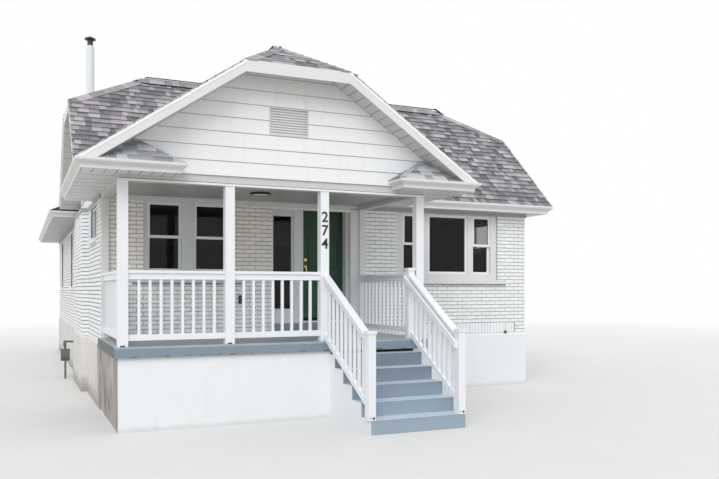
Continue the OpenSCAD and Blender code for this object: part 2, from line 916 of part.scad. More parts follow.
module porch_beam() {
    color("lightgray") block([porch_left, -porch_depth, post_top],
        [porch_right, -porch_depth + post_w, beam_top]);
}

module porch_side_beams() {
    color("lightgray") for (x = [post_x[0], post_x[3]])
        block([x - post_w / 2, -porch_depth + post_w, post_top],
            [x + post_w / 2, 0, soffit_z + board_t]);
}

module porch_ceiling() {
    color("lightgray") block(
        [porch_left + post_w, -porch_depth + post_w, soffit_z],
        [porch_right - post_w, 0, soffit_z + board_t]);
}

// Straight railing along X from 0 to len, standing on the deck
module railing(len) {
    n = ceil(len / baluster_space_w) - 1;
    step = len / (n + 1);
    translate([0, -rail_cap_w / 2, rail_h - rail_cap_t]) cube([len, rail_cap_w, rail_cap_t]);
    translate([0, -rail_w / 2, rail_h - rail_cap_t - rail_t]) cube([len, rail_w, rail_t]);
    translate([0, -rail_w / 2, rail_gap]) cube([len, rail_w, rail_t]);
    for (i = [1 : n])
        translate([i * step - baluster_w / 2, -baluster_w / 2, rail_gap])
            cube([baluster_w, baluster_w, rail_h - rail_cap_t - rail_gap]);
}

module front_railing() {
    color("white") for (i = [0, 1])
        translate([post_x[i] + post_w / 2, post_y, deck_z])
            railing(post_x[i + 1] - post_x[i] - post_w);
}

module side_railings() {
    color("white") for (x = [post_x[0], post_x[3]])
        translate([x, -pilaster_d, deck_z]) rotate([0, 0, -90])
            railing(porch_depth - post_w - pilaster_d);
}

// Height of the nosing line at a distance in front of the porch base
function nosing_z(d) = treads * riser - (d - top_tread_d) * nosing_slope;

// Sloped bar from distance d0 to d1, between two heights above the nosings
module sloped_bar(d0, d1, low, high, w) {
    along_x(-w / 2, w / 2) polygon([
        [-porch_depth - d0, nosing_z(d0) + low], [-porch_depth - d1, nosing_z(d1) + low],
        [-porch_depth - d1, nosing_z(d1) + high], [-porch_depth - d0, nosing_z(d0) + high]
    ]);
}

// One stair railing with its bottom newel, centred on X = 0, from top_d in front of the porch base
module stair_railing(top_d) {
    newel_d = nosing(treads - 1) - newel_w - newel_cap_out;
    n = ceil(newel_d / baluster_space_w) - 1;
    step = newel_d / (n + 1);
    sloped_bar(top_d, newel_d, stair_rail_h - rail_cap_t, stair_rail_h, rail_cap_w);
    sloped_bar(top_d, newel_d, stair_rail_h - rail_cap_t - rail_t, stair_rail_h - rail_cap_t,
        rail_w);
    sloped_bar(top_d, newel_d, rail_gap, rail_gap + rail_t, rail_w);
    for (i = [1 : n])
        sloped_bar(i * step - baluster_w / 2, i * step + baluster_w / 2,
            rail_gap, stair_rail_h - rail_cap_t, baluster_w);
    newel(-porch_depth - newel_d - newel_w, riser, newel_h);
}

// Newel post with its cap, standing at z with its front face at y
module newel(y, z, h) {
    translate([-newel_w / 2, y, z]) {
        cube([newel_w, newel_w, h]);
        translate([-newel_cap_out, -newel_cap_out, h])
            cube([newel_w + 2 * newel_cap_out, newel_w + 2 * newel_cap_out, newel_cap_t]);
    }
}

module stair_railing_left() {
    // Both rails end on the front face of the third post
    color("white") difference() {
        translate([post_x[2] + left_rail_in, -porch_depth, 0]) rotate([0, 0, left_rail_turn])
            translate([0, porch_depth, 0]) stair_railing(-rail_cap_w);
        block([-half_w, -porch_depth, 0], [half_w, 0, 3 * deck_z]);
    }
}

module stair_railing_right() {
    color("white") translate([steps_right - newel_w / 2, 0, 0]) {
        stair_railing(0);
        newel(-porch_depth, deck_z, upper_newel_h);
        // Lower handrail on the inner sides of both newels
        translate([-(newel_w + low_rail_w) / 2, 0, 0])
            sloped_bar(-newel_w, nosing(treads - 1) - newel_cap_out - newel_w / 2,
                low_rail_up, low_rail_up + low_rail_t, low_rail_w);
    }
}

// Flat frame between two corners in X and Z with a square hole
module frame_x(x0, x1, z0, z1, y0, y1, w) {
    along_y(y0, y1) difference() {
        polygon([[x0, z0], [x1, z0], [x1, z1], [x0, z1]]);
        polygon([[x0 + w, z0 + w], [x1 - w, z0 + w], [x1 - w, z1 - w], [x0 + w, z1 - w]]);
    }
}

// Outer edges of the sashes of the window pair and of the triple window
pair_sashes = [
    [-pair_x - pair_mullion_w / 2 - pair_sash_w, -pair_x - pair_mullion_w / 2],
    [-pair_x + pair_mullion_w / 2, -pair_x + pair_mullion_w / 2 + pair_sash_w]
];
triple_sashes = [
    [triple_x - triple_mid_w / 2 - triple_mullion_w - triple_side_w,
        triple_x - triple_mid_w / 2 - triple_mullion_w],
    [triple_x - triple_mid_w / 2, triple_x + triple_mid_w / 2],
    [triple_x + triple_mid_w / 2 + triple_mullion_w,
        triple_x + triple_mid_w / 2 + triple_mullion_w + triple_side_w]
];
sash_low = front_sill_z + sill_h + apron_h;
sash_high = front_head_z - head_board_h;
sash_mid = (sash_low + sash_high) / 2;

// Wooden casing that fills an opening around its sashes, with its sill
module casing(x, w, sashes) {
    difference() {
        block([x - w / 2, window_set, front_sill_z + sill_h],
            [x + w / 2, window_set + window_frame_d, front_head_z]);
        for (s = sashes)
            block([s[0], -cut, sash_low], [s[1], wall_t, sash_high]);
    }
    block([x - w / 2 - sill_side, -sill_out, front_sill_z],
        [x + w / 2 + sill_side, 0, front_sill_z + sill_h]);
    block([x - w / 2, 0, front_sill_z], [x + w / 2, wall_t, front_sill_z + sill_h]);
}

module front_window_casings() {
    color("lightgray") {
        casing(-pair_x, pair_w, pair_sashes);
        casing(triple_x, triple_w, triple_sashes);
    }
}

// Frame of one sash between two edges and two heights
module sash(s, z0, z1, y) {
    frame_x(s[0], s[1], z0, z1, y, y + sash_t, sash_w);
}

module double_hung(s) {
    sash(s, sash_mid - sash_w / 2, sash_high, window_set + sash_set);
    sash(s, sash_low, sash_mid + sash_w / 2, window_set + sash_set + sash_t);
}

module front_window_sashes() {
    color("white") {
        for (s = pair_sashes) double_hung(s);
        double_hung(triple_sashes[0]);
        double_hung(triple_sashes[2]);
        sash(triple_sashes[1], sash_low, sash_high, window_set + sash_set);
    }
}

// Window of the left wall: frame, meeting rail and sill
module side_window(y, w, z, h) {
    x0 = -half_w + window_set;
    color("white") {
        difference() {
            block([x0, y - w / 2, z + sill_h], [x0 + window_frame_d, y + w / 2, z + h]);
            block([x0 - cut, y - w / 2 + sash_w, z + sill_h + sash_w],
                [x0 + window_frame_d + cut, y + w / 2 - sash_w, z + h - sash_w]);
        }
        block([-half_w - sill_out, y - w / 2, z], [x0 + window_frame_d, y + w / 2, z + sill_h]);
        if (h > w) block([x0, y - w / 2 + sash_w, z + h / 2],
            [x0 + sash_t, y + w / 2 - sash_w, z + h / 2 + sash_w]);
    }
}

module left_windows() {
    side_window(piano_y, piano_w, piano_sill_z, piano_h);
    for (y = [side_window_1_y, side_window_2_y])
        side_window(y, side_window_w, side_sill_z, side_window_h);
}

module right_windows() {
    mirror([1, 0, 0]) left_windows();
}

module rear_windows() {
    for (x = [-rear_window_x, rear_window_x])
        translate([x, house_l - half_w, 0]) rotate([0, 0, -90])
            side_window(0, side_window_w, side_sill_z, side_window_h);
}

// Glass sheet of one front sash
module front_glass(s, z0, z1, y) {
    block([s[0] + sash_w, y + (sash_t - glass_t) / 2, z0 + sash_w],
        [s[1] - sash_w, y + (sash_t + glass_t) / 2, z1 - sash_w]);
}

module double_hung_glass(s) {
    front_glass(s, sash_mid - sash_w / 2, sash_high, window_set + sash_set);
    front_glass(s, sash_low, sash_mid + sash_w / 2, window_set + sash_set + sash_t);
}

// Glass of one side window of the left wall
module side_glass(y, w, z, h) {
    x = -half_w + window_set + sash_t;
    block([x, y - w / 2 + sash_w, z + sill_h + sash_w],
        [x + glass_t, y + w / 2 - sash_w, z + h - sash_w]);
}

module window_glass() {
    color("lightblue", 0.4) {
        for (s = pair_sashes) double_hung_glass(s);
        double_hung_glass(triple_sashes[0]);
        double_hung_glass(triple_sashes[2]);
        front_glass(triple_sashes[1], sash_low, sash_high, window_set + sash_set);
        for (m = [0, 1]) mirror([m, 0, 0]) {
            side_glass(piano_y, piano_w, piano_sill_z, piano_h);
            for (y = [side_window_1_y, side_window_2_y])
                side_glass(y, side_window_w, side_sill_z, side_window_h);
        }
        for (x = [-rear_window_x, rear_window_x])
            translate([x, house_l - half_w, 0]) rotate([0, 0, -90])
                side_glass(0, side_window_w, side_sill_z, side_window_h);
        block([sidelight_left, door_out_y - sidelight_set, sidelight_low],
            [sidelight_left + sidelight_w, door_out_y - sidelight_set + glass_t, sidelight_high]);
    }
}

sidelight_left = entry_left + jamb_w;
sidelight_low = floor_top + sidelight_panel_h;
sidelight_high = entry_top - sidelight_head_h;
frame_y = door_in_y - jamb_d;
door_post_y = door_out_y - door_set;
lintel_z = door_top + door_gap - stop_w;
hinge_z = [for (f = [0.12, 0.5, 0.88]) door_bottom + f * door_h];
knuckle_h = 36;
// Height of the frame's sill under the leaf
frame_sill_h = threshold_h - door_gap;
// Thickness of the hinge leaves
hinge_leaf_t = 4;
// Length of the hinge leaf on the door
hinge_leaf_l = 40;
// Play between the knuckles of a hinge
knuckle_gap = 0.5;

module door_frame() {
    post_left = sidelight_left + sidelight_w;
    color("lightgray") {
        difference() {
            block([entry_left, frame_y, floor_top], [entry_right, door_in_y, entry_top]);
            block([door_left - door_gap, door_out_y - door_gap, floor_top + frame_sill_h],
                [door_x + door_gap, door_in_y + cut, door_top + door_gap]);
            block([door_left - door_gap + stop_w, frame_y - cut, floor_top + frame_sill_h],
                [door_x + door_gap - stop_w, door_in_y + cut, lintel_z]);
            // The boards of the sidelight and the post beside the door lie back
            block([sidelight_left, frame_y - cut, floor_top + frame_sill_h],
                [door_left - door_gap + stop_w + cut, door_post_y, lintel_z]);
            block([sidelight_left, frame_y - cut, sidelight_low],
                [sidelight_left + sidelight_w, door_in_y + cut, sidelight_high]);
        }
        // Raised moulding on the post beside the door
        block([post_left + door_post_w / 4, door_post_y - door_post_t, floor_top],
            [post_left + 3 * door_post_w / 4, door_post_y, lintel_z]);
        for (z = hinge_z) hinge_fixed(z);
    }
}

// Fixed half of a hinge: pin, two knuckles and the plate on the frame
module hinge_fixed(z) {
    translate([hinge_x, door_in_y + hinge_knuckle_r, z]) {
        translate([0, 0, -1.5 * knuckle_h]) cylinder(r = hinge_pin_r, h = 3 * knuckle_h, $fn = 32);
        for (k = [-1.5, 0.5])
            translate([0, 0, k * knuckle_h]) cylinder(r = hinge_knuckle_r, h = knuckle_h, $fn = 32);
    }
    for (k = [-1.5, 0.5])
        block([hinge_x, door_in_y, z + k * knuckle_h],
            [entry_right, door_in_y + hinge_leaf_t, z + (k + 1) * knuckle_h]);
}

// Middle knuckle of a hinge with the plate on the door leaf
module hinge_moving(z) {
    difference() {
        union() {
            translate([hinge_x, door_in_y + hinge_knuckle_r, z - knuckle_h / 2 + knuckle_gap])
                cylinder(r = hinge_knuckle_r, h = knuckle_h - 2 * knuckle_gap, $fn = 32);
            block([door_x - hinge_leaf_l, door_in_y, z - knuckle_h / 2 + knuckle_gap],
                [hinge_x, door_in_y + hinge_leaf_t, z + knuckle_h / 2 - knuckle_gap]);
        }
        translate([hinge_x, door_in_y + hinge_knuckle_r, z - knuckle_h])
            cylinder(r = hinge_pin_r + pin_gap, h = 2 * knuckle_h, $fn = 32);
    }
}

module front_door() {
    color("darkgreen") {
        block([door_left, door_out_y, door_bottom], [door_x, door_in_y, door_top]);
        for (z = hinge_z) hinge_moving(z);
    }
}

// Outer handle: deadbolt rose, upper and lower rose, and the grip between them, with an inner knob
module door_handle() {
    rose_r = 28;
    rose_t = 9;
    grip_h = 230;
    grip_w = 20;
    grip_out = 52;
    bolt_up = 130;
    z = door_bottom + handle_z;
    color("goldenrod") translate([door_left + handle_in, 0, z]) {
        for (up = [-grip_h / 2, grip_h / 2, grip_h / 2 + bolt_up])
            translate([0, door_out_y, up]) rotate([90, 0, 0])
                cylinder(r = rose_r, h = rose_t, $fn = 32);
        for (up = [-grip_h / 2, grip_h / 2])
            translate([0, door_out_y, up]) rotate([90, 0, 0])
                cylinder(r = grip_w / 2, h = grip_out, $fn = 24);
        block([-grip_w / 2, door_out_y - grip_out - grip_w / 2, -grip_h / 2 - grip_w / 2],
            [grip_w / 2, door_out_y - grip_out + grip_w / 2, grip_h / 2 + grip_w / 2]);
        translate([0, door_in_y, grip_h / 2]) rotate([-90, 0, 0]) {
            cylinder(r = rose_r, h = rose_t, $fn = 32);
            cylinder(r = grip_w / 2, h = grip_out, $fn = 24);
        }
        translate([0, door_in_y + grip_out, grip_h / 2]) sphere(r = rose_r, $fn = 32);
    }
}

module entry_panel() {
    color("lightgray") block([entry_right, -frieze_t, deck_z],
        [porch_right - pilaster_w, 0, post_top]);
}

// Round body of the flue, widened by grow
module flue_tube(grow) {
    translate([-half_w + flue_in, flue_y, ceiling_top])
        cylinder(r = flue_d / 2 + grow, h = flue_shaft_z - ceiling_top, $fn = 48);
}

// Height of the top of the flue's shaft
flue_shaft_z = flue_top_z - flue_cone_h - flue_neck_h - board_t;

module flue_pipe() {
    r = flue_d / 2;
    cap_r = r + flue_cap_out;
    cap_z = flue_neck_h;
    color("silver") {
        flue_tube(0);
        translate([-half_w + flue_in, flue_y, flue_shaft_z]) rotate_extrude($fn = 48) polygon([
            [0, 0], [r, 0], [r * 0.7, r * 0.2], [r * 0.7, cap_z], [cap_r, cap_z],
            [cap_r, cap_z + board_t], [0, cap_z + board_t + flue_cone_h]
        ]);
    }
}

module gable_vent() {
    x0 = -porch_roof_x - vent_left - vent_w / 2;
    x1 = x0 + vent_w;
    space = (vent_h - 2 * vent_frame_w) / louvres;
    color("whitesmoke") {
        along_y(-porch_depth - vent_out, -porch_depth) difference() {
            translate([x0, vent_z]) square([vent_w, vent_h]);
            translate([x0 + vent_frame_w, vent_z + vent_frame_w])
                square([vent_w - 2 * vent_frame_w, vent_h - 2 * vent_frame_w]);
        }
        // Louvres that fall towards the front, the lowest one let into the frame
        for (i = [0 : louvres - 1])
            translate([0, 0, vent_z + vent_frame_w - louvre_t / 2 + i * space])
                along_x(x0 + vent_frame_w / 2, x1 - vent_frame_w / 2) polygon([
                    [-porch_depth - vent_out / 2, 0], [-porch_depth, space - louvre_t],
                    [-porch_depth, space], [-porch_depth - vent_out / 2, louvre_t]
                ]);
    }
}

// Round ceiling light with a ring around a sunk lens
module porch_light() {
    ring_w = 17;
    lens_in = 8;
    color("black") translate([porch_left + light_x, -light_y, soffit_z - light_h])
        rotate_extrude($fn = 64) polygon([
            [0, lens_in], [light_d / 2 - ring_w, lens_in], [light_d / 2 - ring_w, 0],
            [light_d / 2, 0], [light_d / 2, light_h], [0, light_h]
        ]);
}

// Gas meter behind the chimney breast, on a pipe from the ground, with a pipe into the wall
module gas_meter() {
    x = -half_w - breast_out - meter_d;
    y = breast_y + breast_l + meter_w;
    pipe_r = meter_pipe_d / 2;
    inlet_y = y - meter_w / 4;
    outlet_y = y + meter_w / 4;
    pipe_top = meter_z + 1.6 * meter_w;
    color("gray") {
        // Drum-shaped body between two flat ends
        translate([x, y, meter_z + meter_w / 2]) rotate([0, 90, 0])
            cylinder(d = meter_w, h = meter_d, center = true, $fn = 48);
        translate([x - meter_d / 2, y - meter_w / 2, meter_z + meter_w / 2])
            cube([meter_d, meter_w, meter_w / 2]);
        translate([x, inlet_y, 0]) cylinder(r = pipe_r, h = pipe_top, $fn = 24);
        translate([x, inlet_y, pipe_top]) sphere(r = 1.5 * pipe_r, $fn = 24);
        translate([x, outlet_y, meter_z + meter_w / 2])
            cylinder(r = pipe_r, h = pipe_top - meter_z - meter_w / 2, $fn = 24);
        translate([x, outlet_y, pipe_top]) sphere(r = 1.5 * pipe_r, $fn = 24);
        // Outlet pipe into the foundation wall
        translate([x, outlet_y, pipe_top]) rotate([0, 90, 0])
            cylinder(r = pipe_r, h = -half_w - ledge_out - x, $fn = 24);
        // Regulator on the inlet pipe
        translate([x, inlet_y, pipe_top - 2 * pipe_r]) rotate([0, -90, 0])
            cylinder(r = 2.6 * pipe_r, h = 2 * pipe_r, $fn = 32);
    }
}

foundation_front();
foundation_rear();
foundation_left();
foundation_right();
house_floor();
front_wall_left();
front_wall_right();
front_wall_over_door();
left_wall();
right_wall();
rear_wall();
chimney_base();
chimney_breast();
house_ceiling();
main_gable_left();
main_gable_right();
rear_gable();
porch_gable();
main_roof();
porch_roof();
rear_roof();
return_roofs();
main_eaves();
porch_eaves();
rear_eaves();
frieze_boards();
porch_base();
porch_deck();
front_steps();
entry_step();
post_1();
post_2();
post_3();
post_4();
porch_pilasters();
porch_beam();
porch_side_beams();
porch_ceiling();
front_railing();
side_railings();
stair_railing_left();
stair_railing_right();
front_window_casings();
front_window_sashes();
left_windows();
right_windows();
rear_windows();
window_glass();
door_frame();
entry_panel();
front_door();
door_handle();
flue_pipe();
gable_vent();
porch_light();
gas_meter();
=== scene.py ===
"""Dresses the bungalow: bricks, shingles, siding, soffits and trim, with a finish on every surface.

Metres throughout. X runs to the right along the front, Y to the back, Z up.
"""

import json
import logging
import math
import random
from collections.abc import Callable, Iterator
from contextlib import contextmanager
from dataclasses import dataclass, field
from enum import Enum

import bmesh
import bpy
from mathutils import Matrix, Vector


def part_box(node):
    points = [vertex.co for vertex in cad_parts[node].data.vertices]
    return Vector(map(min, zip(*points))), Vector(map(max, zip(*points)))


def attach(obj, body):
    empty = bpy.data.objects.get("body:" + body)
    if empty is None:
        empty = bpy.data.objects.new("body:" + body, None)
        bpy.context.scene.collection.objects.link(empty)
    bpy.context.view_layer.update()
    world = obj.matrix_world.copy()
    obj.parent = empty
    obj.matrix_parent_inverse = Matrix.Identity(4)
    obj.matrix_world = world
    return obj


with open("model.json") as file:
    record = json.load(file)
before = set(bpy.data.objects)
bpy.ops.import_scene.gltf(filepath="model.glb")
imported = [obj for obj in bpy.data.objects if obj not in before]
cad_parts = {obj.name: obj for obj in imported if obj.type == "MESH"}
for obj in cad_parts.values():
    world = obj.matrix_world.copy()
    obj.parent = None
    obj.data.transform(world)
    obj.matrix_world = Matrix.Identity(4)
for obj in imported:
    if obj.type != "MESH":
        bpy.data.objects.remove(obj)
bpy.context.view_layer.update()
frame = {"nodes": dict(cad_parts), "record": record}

LOG = logging.getLogger("bungalow")
BMesh = bmesh.types.BMesh
Node = bpy.types.Node
Socket = bpy.types.NodeSocket
Tree = bpy.types.NodeTree
Color = tuple[float, float, float]
Triple = tuple[float, float, float]
Span = tuple[float, float]
Rect = tuple[float, float, float, float]
Box = tuple[Triple | Vector, Triple | Vector]

RIGHT = Vector((1.0, 0.0, 0.0))
BACK = Vector((0.0, 1.0, 0.0))
UP = Vector((0.0, 0.0, 1.0))
LEFT = Vector((-1.0, 0.0, 0.0))
FRONT = Vector((0.0, -1.0, 0.0))
PURE_WHITE = (1.0, 1.0, 1.0)
UNSCALED = (1.0, 1.0, 1.0)
TONE = "tone"
FLOAT_SOCKET = "NodeSocketFloat"
CUT_SLACK = 1e-5
SPAN_SLACK = 1e-4
CUT_MERGE = 1e-6
INSIDE_SLACK = 1e-9
TINY_FACE = 1e-7
SAME_NORMAL = 2e-3
SAME_PLANE = 6e-4
SAME_EDGE = 2e-3
ALONG_Y = 0.98
ALONG_X = 0.99
SLOPE_Z = 0.3
SHARP_ANGLE = 0.5
LEVEL_Z = 0.01
OUT_OF_PLANE = 0.01
FACING = 0.99
MEETING = 1e-3
DISC_SIDES = 32
ROUND_STEPS = 3
KEY_DIGITS = 4


class Body(Enum):
    """The parts of the house that move as one."""

    HOUSE = "house"
    DOOR = "door"


class Slot(Enum):
    """The finishes that the record lists."""

    BRICK = "white_brick"
    PLASTER = "plaster"
    CONCRETE = "concrete"
    STEP = "step_paint"
    SIDING = "siding"
    SHINGLE = "shingles"
    WHITE = "white_trim"
    GRAY = "gray_trim"
    GLASS = "glass"
    GREEN = "green_paint"
    BRASS = "brass"
    SHEET = "sheet_metal"
    METER = "gray_metal"
    BLACK = "black_metal"
    FLOOR = "floor_boards"
    CEILING = "ceiling_plaster"


class Edge(Enum):
    """What the edge of a flat region is on the house."""

    RAKE = "rake"
    EAVE = "eave"
    OTHER = "other"


class ShaderTree:
    """Adds nodes to one shader tree and joins them."""

    def __init__(self, tree: Tree) -> None:
        """Keeps the tree and starts with nothing in it."""
        self.tree = tree
        self.tree.nodes.clear()

    def add(self, kind: str, inputs: dict[str | int, object] | None = None,
            **settings: object) -> Node:
        """Adds a node.

        Args:
            kind: the node's type without its ShaderNode prefix.
            inputs: values or output sockets for its inputs, by name or place.
            settings: properties of the node itself.

        Returns:
            The new node.
        """
        node = self.tree.nodes.new("ShaderNode" + kind)
        for name, value in settings.items():
            setattr(node, name, value)
        for key, value in (inputs or {}).items():
            if isinstance(value, Socket):
                self.tree.links.new(value, node.inputs[key])
            else:
                node.inputs[key].default_value = value
        return node

    def math(self, operation: str, a: object, b: object = 0.0) -> Socket:
        """Returns the result of a sum on two values or sockets."""
        return self.add("Math", {0: a, 1: b}, operation=operation).outputs[0]

    def times(self, a: object, b: object) -> Socket:
        """Returns the product of two values or sockets."""
        return self.math("MULTIPLY", a, b)

    def plus(self, a: object, b: object) -> Socket:
        """Returns the sum of two values or sockets."""
        return self.math("ADD", a, b)

    def inverse(self, value: object) -> Socket:
        """Returns 1 less a value or socket."""
        return self.math("SUBTRACT", 1.0, value)

    def tinted(self, color: object, tint: object) -> Socket:
        """Returns a colour multiplied by another."""
        return self.mix(1.0, color, tint, "MULTIPLY")

    def scaled(self, color: object, gain: Socket) -> Socket:
        """Returns a colour made lighter or darker by a socket."""
        return self.tinted(color, self.add("CombineColor", {0: gain, 1: gain, 2: gain}).outputs[0])

    def mix(self, factor: object, a: object, b: object, blend: str = "MIX") -> Socket:
        """Mixes two colours.

        Args:
            factor: how much of b shows.
            a: the first colour.
            b: the second colour.
            blend: how b is laid over a.

        Returns:
            The mixed colour.
        """
        def full(value: object) -> object:
            """Gives a plain colour its fourth number."""
            return (*value, 1.0) if isinstance(value, tuple) and len(value) == 3 else value

        node = self.add("Mix", data_type="RGBA", blend_type=blend)
        sockets = (node.inputs[0], node.inputs[6], node.inputs[7])
        for socket, value in zip(sockets, (factor, full(a), full(b))):
            if isinstance(value, Socket):
                self.tree.links.new(value, socket)
            else:
                socket.default_value = value
        return node.outputs[2]

    def step(self, value: object, low: float, high: float) -> Socket:
        """Returns 0 below low and 1 above high, smooth between them."""
        node = self.add("MapRange", {0: value, 1: low, 2: high}, interpolation_type="SMOOTHSTEP")
        return node.outputs[0]

    def coordinates(self, scale: Triple = UNSCALED, offset: Triple = (0.0, 0.0, 0.0)) -> Socket:
        """Returns the surface's own coordinates, scaled and moved."""
        place = self.add("TexCoord").outputs["Object"]
        return self.add("Mapping", {"Vector": place, "Scale": scale, "Location": offset}).outputs[0]

    def noise(self, place: object, scale: float | Socket, detail: float = 3.0) -> Socket:
        """Returns soft noise around one half."""
        node = self.add("TexNoise", {"Vector": place, "Scale": scale, "Detail": detail})
        return node.outputs["Fac"]

    def axis(self, which: str) -> Socket:
        """Returns one of the surface's coordinates."""
        place = self.add("TexCoord").outputs["Object"]
        return self.add("SeparateXYZ", {0: place}).outputs[which]

    def facing(self, which: str) -> Socket:
        """Returns how far the surface looks along an axis, from -1 to 1."""
        normal = self.add("TexCoord").outputs["Normal"]
        return self.add("SeparateXYZ", {0: normal}).outputs[which]

    def background_ray(self) -> Socket:
        """Tells the rays that show the background, straight, off metal or through glass.

        Returns:
            1 for those rays and 0 for all others.
        """
        path = self.add("LightPath").outputs
        bounced = self.math("MAXIMUM", path["Is Glossy Ray"], path["Is Transmission Ray"])
        return self.math("MAXIMUM", path["Is Camera Ray"], bounced)

    def comb(self, which: str, pitch: float, share: float, start: float = 0.0) -> Socket:
        """Marks narrow lines that cross an axis.

        Args:
            which: the axis.
            pitch: the distance between two lines.
            share: half the width of a line, as a share of the pitch.
            start: the place of one of the lines.

        Returns:
            1 on the lines and 0 between them.
        """
        place = self.math("DIVIDE", self.math("SUBTRACT", self.axis(which), start), pitch)
        off = self.math("ABSOLUTE", self.math("SUBTRACT", self.math("FRACT", place), 0.5))
        return self.step(off, 0.5 - share, 0.5 - share * 0.6)


class Effects:
    """Shader groups that several finishes share, each built once."""

    _built: dict[str, Tree] = {}

    @classmethod
    def place(cls, shader: ShaderTree, name: str, values: dict[str, float],
              build: Callable[[ShaderTree, dict[str, Socket]], Socket]) -> Socket:
        """Puts a group into a material, and builds it at its first use.

        Args:
            shader: the material's tree.
            name: the group's name.
            values: its inputs with the values that they have in this material.
            build: makes the nodes out of the inputs and returns the socket of the output.

        Returns:
            The output of the placed group.
        """
        if name not in cls._built:
            tree = bpy.data.node_groups.new(name, "ShaderNodeTree")
            for key, value in values.items():
                socket = tree.interface.new_socket(key, in_out="INPUT", socket_type=FLOAT_SOCKET)
                socket.default_value = value
            tree.interface.new_socket("Mask", in_out="OUTPUT", socket_type=FLOAT_SOCKET)
            inner = ShaderTree(tree)
            result = build(inner, tree.nodes.new("NodeGroupInput").outputs)
            tree.links.new(result, tree.nodes.new("NodeGroupOutput").inputs[0])
            cls._built[name] = tree
        return shader.add("Group", values, node_tree=cls._built[name]).outputs[0]

    @classmethod
    def mottle(cls, shader: ShaderTree, scale: float) -> Socket:
        """Places a cloudy change of shade at two scales.

        Args:
            shader: the material's tree.
            scale: the scale of the coarse clouds.

        Returns:
            The shade, around one half.
        """
        def build(s: ShaderTree, given: dict[str, Socket]) -> Socket:
            """Adds a fine noise to a coarse one.

            Args:
                s: the group's tree.
                given: the group's inputs.

            Returns:
                Their sum.
            """
            coarse = s.noise(s.coordinates(), given["Scale"], 4.0)
            fine = s.noise(s.coordinates(), s.times(given["Scale"], 9.0), 2.0)
            return s.plus(s.times(coarse, 0.7), s.times(fine, 0.3))

        return cls.place(shader, "cloudy shade", {"Scale": scale}, build)

    @classmethod
    def streaks(cls, shader: ShaderTree, amount: float, fineness: float) -> Socket:
        """Places the dirt that rain has drawn down the surface.

        Args:
            shader: the material's tree.
            amount: how strong it is.
            fineness: the scale of the streaks.

        Returns:
            The dirt, from 0 to 1.
        """
        def build(s: ShaderTree, given: dict[str, Socket]) -> Socket:
            """Stretches noise upright and keeps it in patches.

            Args:
                s: the group's tree.
                given: the group's inputs.

            Returns:
                The dirt.
            """
            runs = s.noise(s.coordinates((1.0, 1.0, 0.07)), given["Fineness"], 4.0)
            patches = s.noise(s.coordinates((0.5, 0.5, 0.5), (3.0, 7.0, 1.0)), 1.3, 2.0)
            both = s.times(s.step(runs, 0.5, 0.75), s.step(patches, 0.35, 0.65))
            return s.times(both, given["Amount"])

        return cls.place(shader, "rain streaks", {"Amount": amount, "Fineness": fineness}, build)

    @classmethod
    def splash(cls, shader: ShaderTree, amount: float, top: float) -> Socket:
        """Places the soil thrown up from the ground.

        Args:
            shader: the material's tree.
            amount: how strong it is.
            top: the height where it fades out.

        Returns:
            The soil, from 0 to 1.
        """
        def build(s: ShaderTree, given: dict[str, Socket]) -> Socket:
            """Fades with the height and breaks up with noise.

            Args:
                s: the group's tree.
                given: the group's inputs.

            Returns:
                The soil.
            """
            height = s.math("DIVIDE", s.axis("Z"), given["Top"])
            ragged = s.plus(height, s.times(s.noise(s.coordinates(), 7.0, 5.0), 0.8))
            return s.times(s.inverse(s.step(ragged, 0.4, 1.2)), given["Amount"])

        return cls.place(shader, "ground splash", {"Amount": amount, "Top": top}, build)

    @classmethod
    def grain(cls, shader: ShaderTree, scale: float, stretch: float) -> Socket:
        """Places the fine relief of a brushed, rolled or floated surface.

        Args:
            shader: the material's tree.
            scale: how fine it is.
            stretch: the share that is drawn out along X and Y.

        Returns:
            The height of the relief.
        """
        def build(s: ShaderTree, given: dict[str, Socket]) -> Socket:
            """Mixes even noise with noise that is drawn out along X and Y.

            Args:
                s: the group's tree.
                given: the group's inputs.

            Returns:
                The height.
            """
            even = s.noise(s.coordinates(), given["Scale"], 4.0)
            drawn = s.noise(s.coordinates((0.12, 0.12, 1.0)), given["Scale"], 3.0)
            part = given["Stretch"]
            return s.plus(s.times(even, s.inverse(part)), s.times(drawn, part))

        return cls.place(shader, "surface grain", {"Scale": scale, "Stretch": stretch}, build)


def new_material(name: str) -> tuple[bpy.types.Material, ShaderTree]:
    """Makes a new material.

    Args:
        name: its name.

    Returns:
        The material and its empty tree.
    """
    material = bpy.data.materials.new(name)
    material.use_nodes = True
    return material, ShaderTree(material.node_tree)


